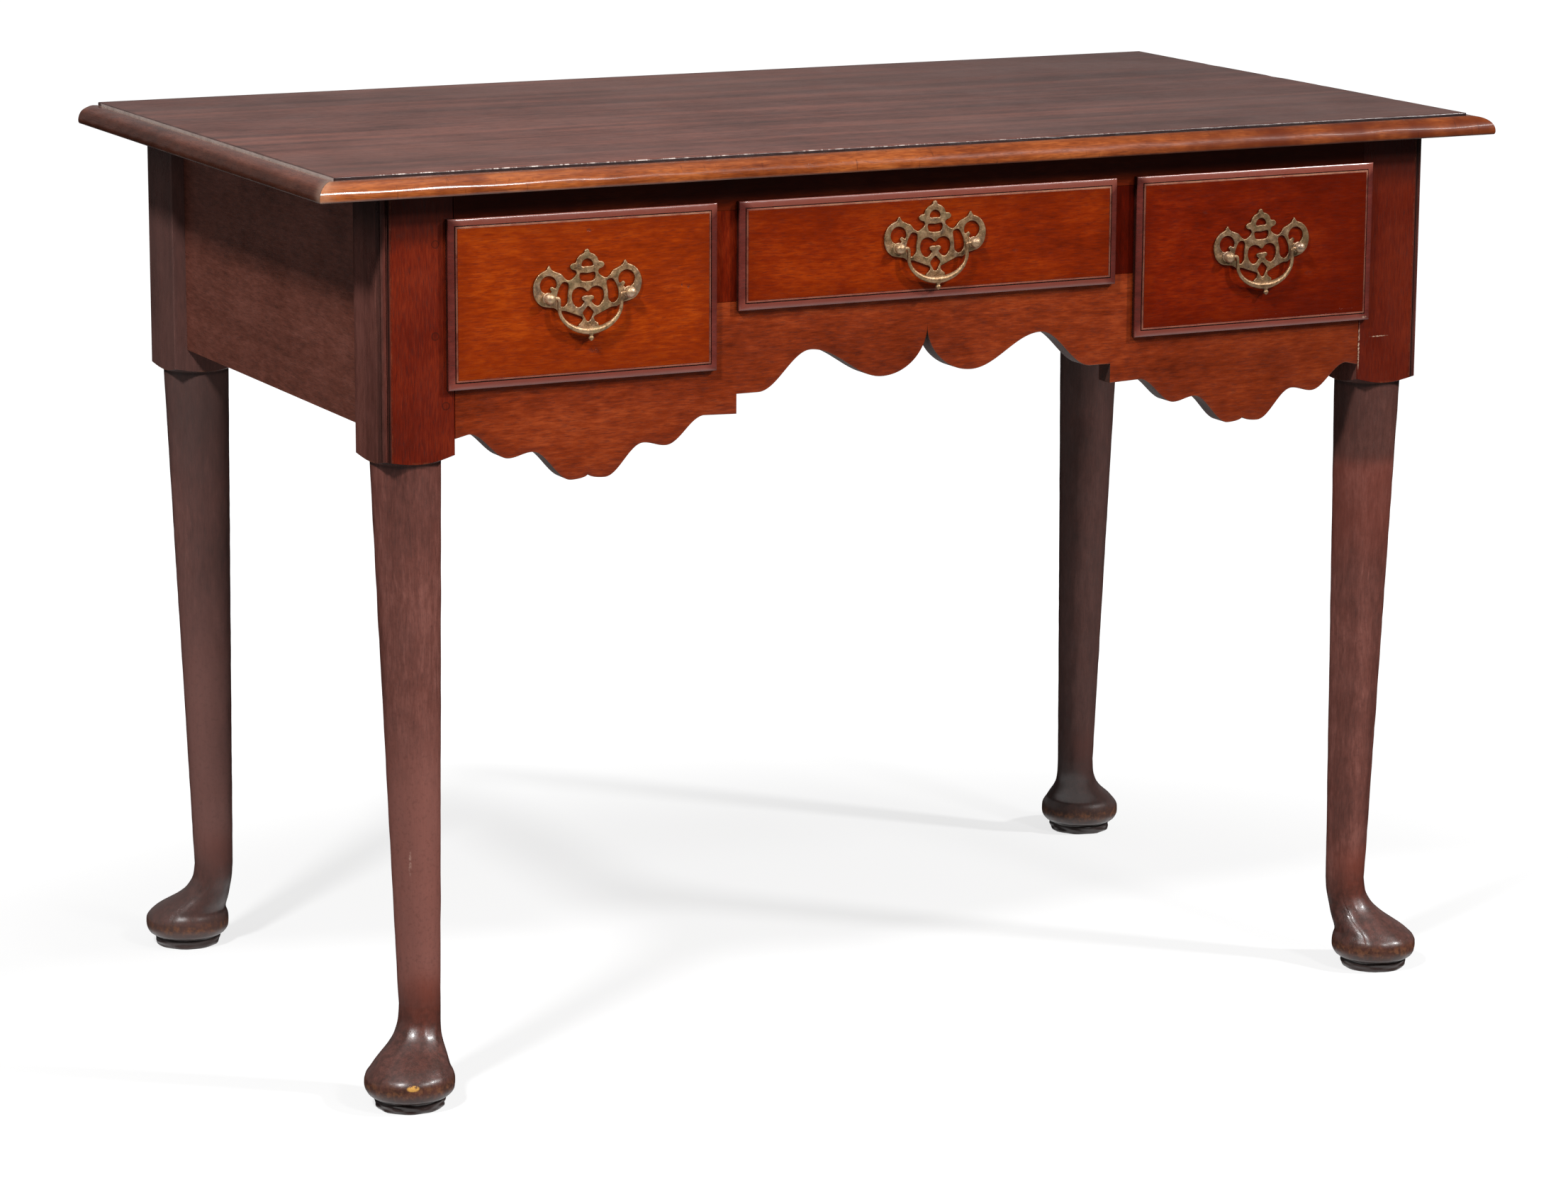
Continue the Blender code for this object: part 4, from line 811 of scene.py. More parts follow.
legMarks = {
    # centres in metres, with half sizes in mm where a mark has its own
    "pegs": ((-0.4198, -0.2595, 0.6735), (-0.4205, -0.2595, 0.6037), (-0.4124, -0.2595, 0.5500)),
    "pale": (((-0.4630, -0.2595, 0.6852), (1.2, 1.5, 2.2)), ((0.4253, -0.2595, 0.54645), (10.5, 1.0, 0.55)),
             ((0.4058, -0.2595, 0.5390), (0.8, 1.0, 24.0))),
    "scratch": ((-0.4400, -0.2450, 0.1930), (1.3, 4.0, 14.0)),
    "chip": ((-0.4552, -0.2842, 0.0236), (6.0, 4.0, 2.8)),
    "notch": ((-0.4369, 0.1928, 0.0320), (4.5, 4.5, 4.0)),
}
raggedNoise = (420.0, 3.0, 0.6)  # breaks up the rims of marks


def agedLeg(wood):
    # what block and shaft share: greyer at the back, rubbed rims with a painted highlight on the block's
    # arris, painted shade in the creases
    right = wood.along("x", -0.3, 0.3)
    back = wood.along("y", 0.0, 0.10) * (0.38 + right * 0.22)
    wood.tint(back, wood.mix(right, (0.110, 0.076, 0.071), (0.046, 0.034, 0.032)))
    patch = wood.patches(240.0, 4.0, 0.65, 0.44, 0.66)
    wood.tint(wood.attribute("wear") * (patch * 0.60 + 0.10), (0.24, 0.095, 0.042))
    # painted shade in the creases and grooves
    wood.tint(wood.attribute("grime") * 0.92, (0.014, 0.008, 0.007))


def legBlockFinish():
    # purple-brown, red on the front with painted shade to the right, a painted shadow of the top over its
    # upper part, peg ends and a few pale bruises
    wood = Wood("legBlock", 0.25)
    red = mahoganyLooks["frontUprights"]
    front = wood.ramp(wood.cloud * 0.6 + wood.fibre * 0.4,
                      [(0.26, red["deep"]), (0.45, red["main"]), (0.66, red["bright"])])
    front = wood.mix(wood.pores * 0.4, front, (0.030, 0.003, 0.001))
    # painted shade: the fronts of the right legs darker
    front = wood.mix(wood.along("x", 0.2, 0.4) * 0.45, front, red["deep"])
    onFront = wood.along("y", -0.2575, -0.2592) * (1 - wood.attribute("corner") * 0.7)
    wood.tint(onFront * 0.93, front)
    # painted shadow of the top's overhang
    wood.shade("z", 0.664, 0.704, 0.75, (0.014, 0.006, 0.005))
    for centre in legMarks["pegs"]:
        ring = wood.spot(centre, (3.6,) * 3, 0.2) - wood.spot(centre, (2.9,) * 3, 0.3) * 0.75
        wood.tint(ring * 0.65, (0.020, 0.006, 0.004))
    ragged = wood.patches(*raggedNoise, 0.35, 0.60)
    for centre, halves in legMarks["pale"]:
        wood.tint(wood.spot(centre, halves, 0.5) * ragged, (0.48, 0.34, 0.24))
    agedLeg(wood)
    return wood.polish()


def legShaftFinish():
    # paler down the shaft of the left legs, a painted light; stained at the top of some legs, reddish at the
    # ankle, dark and bruised on the foot
    wood = Wood("legShaft", 0.25)
    # painted light: the lower shaft of the left legs paler
    paintedLight = wood.along("z", 0.34, 0.22) * wood.along("z", 0.060, 0.105) * wood.along("x", 0.3, -0.3)
    wood.tint(paintedLight * 0.75, wood.look["bright"])
    wood.tint(wood.patches(330.0, 4.0, 0.7, 0.50, 0.68) * 0.30, wood.look["deep"])
    ragged = wood.noise(wood.where, *raggedNoise)
    scratch = wood.spot(*legMarks["scratch"], 0.5) * wood.between(ragged, 0.45, 0.62)
    wood.tint(scratch * 0.7, (0.42, 0.24, 0.19))
    right, front = wood.along("x", 0.2, 0.3), wood.along("y", 0.1, 0.0)
    stain = wood.along("z", 0.430, 0.445) * right * front
    stain = stain + wood.along("z", 0.39, 0.48) * wood.along("y", 0.0, 0.1)
    wood.tint(stain * 0.55, (0.030, 0.015, 0.012))
    flush = wood.along("z", 0.33, 0.39) * wood.along("z", 0.45, 0.43) * right
    wood.tint(flush * front * 0.35, (0.170, 0.032, 0.018))
    ankle = wood.along("z", 0.046, 0.062) * wood.along("z", 0.115, 0.085) * wood.attribute("forward")
    wood.tint(ankle * 0.65, (0.165, 0.030, 0.014))
    mottle = wood.patches(170.0, 5.0, 0.72, 0.36, 0.66)
    wood.tint(wood.along("z", 0.100, 0.050) * (0.48 + mottle * 0.38), (0.032, 0.0150, 0.0115))
    wood.shade("z", 0.0078, 0.0070, 0.8, (0.060, 0.040, 0.037))
    agedLeg(wood)
    for key, tone in (("chip", (0.62, 0.32, 0.075)), ("notch", (0.010, 0.006, 0.005))):
        wood.tint(wood.spot(*legMarks[key], 0.4) * wood.between(ragged, 0.30, 0.48), tone)
    return wood.polish()


# Top: field and mouldings

topShape = {
    "width": 17.5 * mm,
    "step": 2.6 * mm,
    "flat": 4.0 * mm,
    "nose": 3.0 * mm,
    "thick": 17.1 * mm,
    "gap": 0.3 * mm,
    "wander": 0.16 * mm,
    "sideways": 0.6,  # share of the wander that goes outward
    # marks, as distances out from the field: its wall, the front's dark joint, the sides' pale fillet (worn,
    # with a painted highlight)
    "wall": 2 * mm, "joint": 0.9 * mm, "paleFillet": (0.45 * mm, 2.4 * mm),
    # as depths: the part that counts as upper, where a side's painted shade comes in and where its polish
    # goes out
    "upper": 4 * mm, "paintedShadeIn": (5.0 * mm, 8.0 * mm), "polishOut": (4.5 * mm, 7.0 * mm),
    "arris": 1.2 * mm, "cornerReach": 9 * mm,
    # rows along each edge; seeds
    "rows": {"x": 320, "y": 190},
    "seeds": {0: 20, -1: 23, 1: 25},
    # field: eased corner, rows along X, points across and up, depth of its slow swell and of its chips
    "ease": 0.7 * mm, "fieldRows": 420, "fieldPoints": (60, 3), "swell": 0.12 * mm, "chips": 0.7 * mm,
    "chipReach": 1.2 * mm,
}


def mouldingProfile(shape):
    # closed section (outward, upward): inner wall, flat fillet, quarter of an ellipse, small lower arris
    width, step, flat, nose, thick, gap = (
        shape[key] for key in ("width", "step", "flat", "nose", "thick", "gap"))
    turn = np.linspace(0, quarterTurn, 20)[1:]
    curve = np.column_stack([flat + (width - flat) * np.sin(turn),
                             -thick + nose + (thick - step - nose) * np.cos(turn)])
    lead = [(gap, -thick), (gap, -thick * 0.5), (gap, -step - 0.5 * mm), (gap + 0.15 * mm, -step - 0.12 * mm),
            *((across, -step) for across in (gap + 0.5 * mm, 1.2 * mm, 1.9 * mm, 2.6 * mm, 3.3 * mm, flat))]
    tail = [(width - 0.1 * mm, -thick + nose * 0.5), (width - 0.7 * mm, -thick + 0.3 * mm),
            (width - 1.3 * mm, -thick), (width * 0.5, -thick)]
    return np.vstack([lead, curve, tail])


def makeTopEdge(name, axis, side, material):
    # the section carried straight along one edge; each of its points has its own length, so the ends
    # meet in mitres, and slow ripples make the line hand-worked
    shape = topShape
    outward, upward = mouldingProfile(shape).T
    thick = shape["thick"]
    boardLow, boardHigh = faceSpan("top_board")
    cornerX, cornerY, top = cadHigh[0] - shape["width"], boardLow[1], boardHigh[2]
    onSide = axis == "y"
    share = np.linspace(0, 1, shape["rows"][axis])[:, None]
    across = np.linspace(0, 1.5, len(outward))[None, :]
    wander = ripple(share * 9.0, across, shape["seeds"][side], 7, 2.0, 16.0)
    wander = wander * shape["wander"] * np.clip(outward / shape["flat"], 0, 1) * (upward > -thick + 0.4 * mm)
    if onSide:
        start = cornerY - outward + 1.5 * shape["gap"]
        length = 0.5  # near enough for the rubbing at its corner
        y = start + (boardHigh[1] - start) * share
        x = side * (cornerX + outward + wander * shape["sideways"])
    else:
        length = 2 * (cornerX + outward)
        x = length * (share - 0.5)
        y = cornerY - outward - wander * shape["sideways"]
    z = np.maximum(top + upward + wander, top - thick)
    x = np.clip(x, cadLow[0], cadHigh[0])
    depth = -upward
    onTop, aboveArris = depth < shape["upper"], depth < thick - shape["arris"]
    corner = np.exp(-(share * length / shape["cornerReach"]) ** 2) * (outward > shape["wall"])
    inner, outer = shape["paleFillet"]
    # the sides' pale fillet: worn wood with a painted highlight
    fillet = 0.4 * (outward > inner) * (outward < outer) * onTop * onSide
    # painted shade under the lower arris, and down the lower part of a side
    under = np.where(aboveArris, 0, 0.1 if onSide else 0.6)
    lower = np.interp(depth, shape["paintedShadeIn"], (0, 0.6)) * aboveArris * onSide
    joint = 0.95 * (outward < shape["joint"]) * onTop * (not onSide)
    rubbed = (0.25 if onSide else 0.75) * corner * (outward > shape["flat"])
    marks = {"wear": np.clip(fillet + rubbed, 0, 1), "level": np.interp(depth, shape["polishOut"], (1, 0)),
             "grime": np.clip(under + joint + lower * (1 - corner), 0, 1)}
    piece = gridPiece(f"worked_{name}", np.stack([x, y, z], -1), [material], marks=marks, sharp=40)
    return dress(piece, "carcase", "mahogany_edge", name)


def fieldGrid(shape, low, high):
    # the board's section with eased corners, carried along X and drawn in over each end's arris
    radius, count = shape["ease"], shape["fieldRows"]
    turn = np.linspace(0, quarterTurn, 4)
    middle, half = (low[1:] + high[1:]) / 2, (high[1:] - low[1:]) / 2
    corners = []
    for index, sign in enumerate(((1, 1), (-1, 1), (-1, -1), (1, -1))):
        angle = turn + index * quarterTurn
        arc = radius * np.column_stack([np.cos(angle), np.sin(angle)])
        corners.append(middle + (half - radius) * sign + arc)
    loop = []
    for index, corner in enumerate(corners):
        inner = np.linspace(0, 1, shape["fieldPoints"][index % 2] + 1)[1:-1, None]
        loop += [corner, corner[-1] * (1 - inner) + corners[(index + 1) % 4][0] * inner]
    loop = np.vstack(loop)
    rise, draw = radius - radius * np.cos(turn), radius - radius * np.sin(turn)
    x = np.concatenate([low[0] + rise, np.linspace(low[0] + radius, high[0] - radius, count)[1:-1],
                        (high[0] - rise)[::-1]])[:, None, None]
    draw = np.concatenate([draw, np.zeros(count - 2), draw[::-1]])[:, None, None]
    section = middle + (loop - middle) * (1 - draw / half)
    return np.concatenate([x + 0 * section[..., :1], section], -1)


def makeTopField(material):
    # a board with a worn arris: its upper face sinks and swells by a fraction of a millimetre
    shape = topShape
    low, high = faceSpan("top_board")
    grid = fieldGrid(shape, low, high)
    x, y, z = np.moveaxis(grid, -1, 0)
    slow = (ripple(x * 3, y * 3, 41, 5, 2.0, 7.0) - 1) * shape["swell"]
    edge = np.minimum(y - low[1], np.minimum(x - low[0], high[0] - x))
    chipped = np.maximum(ripple(x * 60, y * 60, 43, 6, 1.0, 5.0) - 0.35, 0)
    chipped = chipped * np.exp(-(np.maximum(edge, 0) / shape["chipReach"]) ** 2) * shape["chips"]
    z += (z > high[2] - 0.9 * mm) * (np.minimum(slow, 0) - chipped)
    piece = gridPiece("field_top_board", grid, [material], sharp=60)
    return dress(piece, "carcase", "mahogany_top", "top_board")


def topFinish():
    # two boards of slightly unlike tone, hazy in patches, with painted shade darker to the right
    wood = Wood("topField")
    low, high = (corner.tolist() for corner in faceSpan("top_board"))
    top, front = high[2], low[1]
    wood.shade("y", 0.0365, 0.0375, 0.22)
    wood.tint(wood.patches((2.2, 7.0, 1), 3.0, 0.6, 0.42, 0.70) * 0.35, (0.175, 0.078, 0.060))
    # painted shade: darker to the right
    wood.shade("x", -0.05, 0.45, 0.45)
    # the wall over the mouldings is dark in front, and pale at the sides: rubbed wood with a painted
    # highlight
    wall = wood.along("z", top - 0.4 * mm, top - 1.0 * mm) * wood.along("y", 0.262, 0.256)
    outward = wood.math("ABSOLUTE", wood.axis("x"))
    wood.tint(wall * 0.9, (0.012, 0.006, 0.006))
    atSide = wood.between(outward, high[0] - 0.4 * mm, high[0] - 0.1 * mm)
    wood.tint(atSide * wall * wood.patches(120.0, 3.0, 0.6, 0.30, 0.60, 0.75, 1.0), (0.88, 0.70, 0.62))
    inner = wood.math("MINIMUM", wood.axis("y") - front, 0.5 * (high[0] - low[0]) - outward)
    wood.tint(wood.between(inner, 2.4 * mm, 0.6 * mm) * 0.55, (0.020, 0.010, 0.010))
    # the front arris carries painted highlights: broken pale glints
    dashes = wood.patches((90.0, 0.0, 0.0), 4.0, 0.75, 0.48, 0.56)
    dashes = dashes * wood.patches((11.0, 0.0, 0.0), 2.0, 0.55, 0.36, 0.52)
    arris = wood.along("y", front + 0.9 * mm, front + 0.6 * mm)
    arris = arris * wood.along("z", top - 0.9 * mm, top - 0.6 * mm)
    wood.tint(arris * dashes * wood.along("x", 0.30, -0.40, 0.20, 0.85), (0.70, 0.60, 0.54))
    return wood.polish()


# Drawers

drawerEdgeShape = {
    "lip": 3.9 * mm,  # square outer edge
    "ovolo": 5.1 * mm,
    "crown": 5.25 * mm,
    "quirk": 4.55 * mm,
    "fillet": (6.0 * mm, 7.3 * mm),
    "border": 11.0 * mm,  # flush margin of the front, inside the fillet
    "face": 5.95 * mm,
    "step": 8 * mm,
    "wander": 0.10 * mm,
    "seeds": {"left": 51, "centre": 53, "right": 57},
}


def drawerEdgeProfile(shape):
    # closed section (inward, forward): square outer edge, flat quarter of an ellipse, quirk, fillet, margin
    lip, ovolo, crown, quirk, face, border = (
        shape[key] for key in ("lip", "ovolo", "crown", "quirk", "face", "border"))
    start, end = shape["fillet"]
    turn = np.linspace(0, quarterTurn, 14)
    curve = np.column_stack([ovolo * (1 - np.cos(turn)), lip + (crown - lip) * np.sin(turn)])
    lead = [(0.0, 0.0), (0.0, lip * 0.5), (0.0, lip - 0.5 * mm)]
    tail = [(ovolo + 0.1 * mm, quirk), (start - 0.15 * mm, quirk), (start, face - 0.25 * mm),
            (start + 0.2 * mm, face - 0.05 * mm), (end - 0.2 * mm, face - 0.05 * mm), (end, face - 0.35 * mm),
            (end + 0.15 * mm, face - 0.35 * mm), (end + 0.35 * mm, face), (border - 0.1 * mm, face),
            (border, face - 0.1 * mm), (border, 0.0)]
    return np.vstack([lead, curve, tail])


def makeDrawerEdge(word, materials):
    # the section carried round a rectangle with mitred corners; its margin takes the front's own finish
    shape = drawerEdgeShape
    low, high = faceSpan(f"drawer_{word}_moulding")
    inward, forward = drawerEdgeProfile(shape).T
    filletStart, filletEnd = shape["fillet"]
    corners = np.array([(low[0], low[2]), (high[0], low[2]), (high[0], high[2]), (low[0], high[2])])
    toward = np.array([(1, 1), (-1, 1), (-1, -1), (1, -1)])
    rows, level = [], []
    for index, litShare in enumerate((0.5, 0, 1, 0)):  # share of painted highlight on the lower, right, upper and left length
        start, end = corners[index], corners[(index + 1) % 4]
        count = int(np.linalg.norm(end - start) / shape["step"])
        share = np.linspace(0, 1, count, endpoint=False)[:, None, None]
        first = start + toward[index] * inward[:, None]
        last = end + toward[(index + 1) % 4] * inward[:, None]
        rows.append(first * (1 - share) + last * share)
        level += [litShare] * count
    ring = np.concatenate(rows)
    level = np.array(level)[:, None]
    around = np.linspace(0, fullTurn, len(ring), endpoint=False)[:, None]
    wander = ripple(np.cos(around) * 5, np.sin(around) * 5 + inward * 90, shape["seeds"][word], 6, 1.0, 6.0)
    worked = (forward > 1 * mm) * (inward < filletEnd)
    y = high[1] - forward + np.abs(wander * shape["wander"]) * worked
    fillet = (inward > filletStart - 0.1 * mm) * (inward < filletEnd + 0.1 * mm)
    groove = (inward > shape["ovolo"]) * (inward < filletStart - 0.1 * mm)
    # painted shade in the quirk and down the lip's outer side; the fillet is pale with wear all round and a
    # painted highlight on the upper length
    marks = {"wear": (0.25 + 0.60 * (level == 1)) * fillet, "level": level,
             "grime": np.clip(0.9 * groove + 0.95 * (forward < 3.6 * mm) * (inward < 0.1 * mm), 0, 1)}
    grid = np.stack([ring[..., 0], y, ring[..., 1]], -1)
    piece = gridPiece(f"worked_drawer_{word}_moulding", grid, materials, True, marks, 38)
    inMargin = inward > filletEnd + 0.1 * mm
    flush = inMargin * np.roll(inMargin, -1)
    piece.data.polygons.foreach_set("material_index", np.tile(flush.astype(np.int32), len(ring)))
    return dress(piece, f"drawer_{word}", "mahogany_dark", f"drawer_{word}_moulding")


drawerMarks = {
    # small dents and stains on each front: centre in X and Z, half sizes in mm, strength
    "left": ((-0.2125, 0.6300, 1.6, 2.6, 0.75), (-0.2179, 0.6315, 1.2, 2.0, 0.65),
             (-0.2916, 0.5853, 8.0, 3.0, 0.45), (-0.2960, 0.6779, 3.2, 1.6, 0.55)),
    "centre": ((0.0750, 0.6400, 4.0, 2.0, 0.3), (-0.0900, 0.6650, 3.0, 1.2, 0.3)),
    "right": ((0.3500, 0.6050, 5.0, 2.4, 0.3), (0.2500, 0.6600, 4.0, 1.6, 0.3)),
}


def drawerFinish(word):
    # polished front, darker toward its edges and its foot, with painted shade darker to the right, and a few
    # old bruises
    wood = Wood(f"drawer{word.capitalize()}")
    low, high = (corner.tolist() for corner in faceSpan(f"drawer_{word}_front"))
    edges = [wood.math("MINIMUM", wood.axis(name) - low[index], high[index] - wood.axis(name))
             for name, index in (("x", 0), ("z", 2))]
    wood.tint(wood.between(wood.math("MINIMUM", *edges), 0.016, 0.0) * 0.40, wood.look["deep"])
    # painted shade: darker to the right
    wood.shade("x", 0.22, 0.42, 0.45)
    wood.shade("z", 0.61, 0.57, 0.25)
    dents = None
    ragged = wood.patches(420.0, 3.0, 0.55, 0.35, 0.60)
    for x, z, halfX, halfZ, strength in drawerMarks[word]:
        mark = wood.spot((x, low[1], z), (halfX, 4.0, halfZ), 0.7) * ragged
        wood.tint(mark * strength, (0.060, 0.018, 0.012))
        dents = dents + mark * -strength if dents else mark * -strength
    return wood.polish(dents)


# Apron

apronShape = {
    # right half of the fretted edge: pairs are X and Z, the small heights are from its base line
    "legInner": 0.405, "base": 0.5265, "pendantFromLeg": 0.1104, "pendantHalf": 0.0992,
    "outerLobe": (0.066, -0.0210), "saddle": (0.047, -0.0175), "innerLobe": (0.0140, -0.0418),
    "notch": -0.0380,
    "legEndDrop": 0.0025, "shelfDrop": 0.0010, "stepX": 0.1679, "stepRise": 0.0147, "flatLength": 0.0188,
    "peak": (0.103, 0.0452), "lobe": (0.040, 0.0195), "cusp": 0.0580,
    "sideSill": 0.5688, "centreSill": 0.6139, "sideInner": 0.1939,
    "front": -0.2595, "thick": 18 * mm, "ease": 0.7 * mm,
    "hair": 0.02 * mm,  # what keeps two points of a step from lying on one line
}


def swing(start, end, count):
    # an S from start to end whose height is half a cosine wave
    share = np.linspace(0, 1, count, endpoint=False)
    lift = (1 - np.cos(np.pi * share)) / 2
    return np.column_stack([start[0] + (end[0] - start[0]) * share, start[1] + (end[1] - start[1]) * lift])


def quarter(low, cusp, count):
    # a quarter of an ellipse from the bottom of a lobe up to a cusp
    turn = np.linspace(0, quarterTurn, count, endpoint=False)
    return np.column_stack([low[0] + (cusp[0] - low[0]) * np.sin(turn),
                            low[1] + (cusp[1] - low[1]) * (1 - np.cos(turn))])


def apronLowerEdge(shape):
    # right half of the fretted edge, from the leg to the middle, then mirrored: X and Z
    base = shape["base"]
    pendant = shape["legInner"] - shape["pendantFromLeg"]
    outer, inner = (pendant + side * shape["pendantHalf"] for side in (1, -1))
    notch = (pendant, base + shape["notch"])
    right, left = ({key: (pendant + side * shape[key][0], base + shape[key][1])
                    for key in ("outerLobe", "saddle", "innerLobe")} for side in (1, -1))
    peak, lobe = ((shape[key][0], base + shape[key][1]) for key in ("peak", "lobe"))
    stepX, stepZ = shape["stepX"], base + shape["stepRise"]
    cusp = base + shape["cusp"]
    half = np.vstack([
        [(shape["legInner"] - 0.3 * mm, base - shape["legEndDrop"])],
        swing((outer, base), right["outerLobe"], 30), swing(right["outerLobe"], right["saddle"], 14),
        swing(right["saddle"], right["innerLobe"], 30), quarter(right["innerLobe"], notch, 16),
        [notch], quarter(left["innerLobe"], notch, 16)[::-1][:-1],
        swing(left["innerLobe"], left["saddle"], 30), swing(left["saddle"], left["outerLobe"], 14),
        swing(left["outerLobe"], (inner, base), 30),
        [(inner, base), (stepX + shape["hair"], base - shape["shelfDrop"]), (stepX, stepZ)],
        swing((stepX - shape["flatLength"], stepZ), peak, 40), swing(peak, lobe, 44),
        quarter(lobe, (0, cusp), 34), [(0.15 * mm, cusp)]])
    return np.vstack([half, half[::-1] * (-1, 1)])


def makeApron(material):
    # at every place along the edge a closed section with eased corners runs from the fretted edge up
    shape = apronShape
    x, bottom = apronLowerEdge(shape).T
    inner, hair = shape["sideInner"], shape["hair"]
    extra = np.array([inner + hair, inner - hair, -inner - hair, -inner + hair])
    x, bottom = np.concatenate([x, extra]), np.concatenate([bottom, np.interp(extra, x[::-1], bottom[::-1])])
    order = np.argsort(x, kind="stable")
    x, bottom = x[order], bottom[order]
    top = np.where(np.abs(x) > inner, shape["sideSill"], shape["centreSill"])
    ease, front, thick = shape["ease"], shape["front"], shape["thick"]
    back = front + thick
    turn = np.linspace(0, quarterTurn, 4)
    near, rising = ease * (1 - np.cos(turn)), ease * (1 - np.sin(turn))
    under = np.column_stack([np.concatenate([front + near, [front + thick * 0.35, front + thick * 0.7],
                                             back - rising]), np.concatenate([rising, [0, 0], near])])
    upright = [(back, part) for part in np.linspace(0, 1, 7)[1:]]
    upright += [(front, part) for part in np.linspace(0, 1, 7)[:0:-1]]
    eased = bottom + ease
    columns = [np.stack([x, y + 0 * x, bottom + lift], -1) for y, lift in under]
    columns += [np.stack([x, y + 0 * x, eased + (top - eased) * part], -1) for y, part in upright]
    place = np.arange(len(columns))
    marks = {"wear": 0.7 * ((place >= 1) & (place < 3)), "grime": 0.9 * ((place >= 2) & (place < 8))}
    piece = gridPiece("fretted_apron", np.stack(columns, 1), [material], marks=marks, sharp=40)
    return dress(piece, "carcase", "mahogany_front", "apron")


# Handles

plateShape = {
    # right half of the pierced back plate in mm, from midway between the posts
    "edge": ((0, 35.3), (1.8, 34.3), (2.2, 32.6), (5.8, 30.8), (8.4, 28.2), (9.6, 25.4), (12.4, 24.8),
             (14.4, 22.6), (13.2, 20.4), (9.8, 19.0), (9.2, 16.6), (11.6, 14.0), (15.4, 12.2), (18.6, 13.8),
             (21.6, 17.4), (25.6, 19.2), (29.4, 21.2), (31.8, 24.7), (34.0, 21.6), (38.6, 19.6), (42.6, 15.8),
             (45.0, 10.4), (45.2, 4.4), (43.0, -1.6), (38.8, -5.6), (33.5, -7.2), (28.2, -8.2), (24.6, -10.6),
             (19.6, -11.0), (15.4, -12.6), (9.6, -15.0), (4.8, -17.4), (5.4, -20.2), (8.4, -22.8),
             (8.0, -25.0), (4.0, -26.2), (0, -28.4)),
    # crest, window, heart and drop, on the middle line
    "middleHoles": (
        ((0, 27.8), (3.0, 26.6), (4.8, 23.6), (4.4, 22.2), (0, 22.0)),
        ((0, 16.6), (6.2, 16.8), (5.6, 11.6), (0, 10.4)),
        ((0, 2.6), (3.6, 5.4), (8.0, 6.2), (12.0, 4.0), (13.4, -1.0), (12.0, -6.0), (8.6, -9.0),
         (6.0, -8.4), (3.0, -5.0), (4.8, -3.4), (5.0, -1.6), (3.4, -0.6), (0, -0.6)),
        ((0, -8.8), (2.6, -11.2), (4.4, -13.6), (2.8, -17.4), (1.4, -19.8), (0, -20.4)),
    ),
    # beside the heart, and the ear's hole with its small curled tip at the lower inner side
    "sideHoles": (
        ((16.2, 9.8), (20.4, 11.0), (23.6, 7.0), (25.6, 1.2), (25.2, -4.6), (21.2, -7.6), (17.6, -5.4),
         (16.8, 1.4)),
        ((32.8, 16.8), (37.4, 14.8), (39.6, 10.0), (37.8, 5.2), (33.6, 3.4), (30.2, 4.2), (31.4, 6.6),
         (29.8, 8.4), (26.8, 7.0), (25.8, 10.4), (27.8, 14.8)),
    ),
    "thick": 1.5 * mm,
    "bevel": 0.70 * mm,
    "postSpacing": 67.2 * mm,
}

handleSets = {
    # midway between the posts in X and Z, and tilt in degrees, right side up
    "left": (-0.29785, 0.62875, 1.0),
    "centre": (0.00200, 0.64900, 1.0),
    "right": (0.30425, 0.62525, 3.4),
}

brassShape = {
    "standoff": 5.8 * mm, "headRadius": 4.4 * mm, "shank": 2.0 * mm, "flange": 4.2 * mm,
    "nutRadius": 5.2 * mm, "nutThick": 3.0 * mm, "board": 22.0 * mm, "gap": 0.3 * mm,
    "pinDepth": 2.8 * mm, "arm": 26.0 * mm, "drop": 27.0 * mm, "neck": 8.0 * mm, "elbow": 1.8 * mm,
    "endRadius": 1.4 * mm, "middleRadius": 3.1 * mm, "swellStart": 20,
    "uneven": 0.035, "postSeed": 61,
    # turned drop under the bail: height and radius in mm
    "dropProfile": ((2.2, 1.2), (1.4, 2.0), (0.4, 2.1), (-0.5, 1.6), (-0.9, 1.5), (-1.8, 2.1), (-2.8, 2.2),
                    (-3.7, 1.6), (-4.5, 0.9), (-5.0, 0.3)),
}


def mirroredLoop(half):
    half = np.asarray(half, float)
    return np.vstack([half, half[1:-1][::-1] * (-1, 1)])


def onDrawer(mesh, word, first=Matrix()):
    # moves a mesh from the plate's own plane, X across and Z up, to its place on the drawer
    x, z, tilt = handleSets[word]
    face = faceSpan(f"drawer_{word}_front")[0][1]
    mesh.transform(Matrix.Translation((x, face, z)) @ Matrix.Rotation(-math.radians(tilt), 4, "Y") @ first)
    mesh.update()


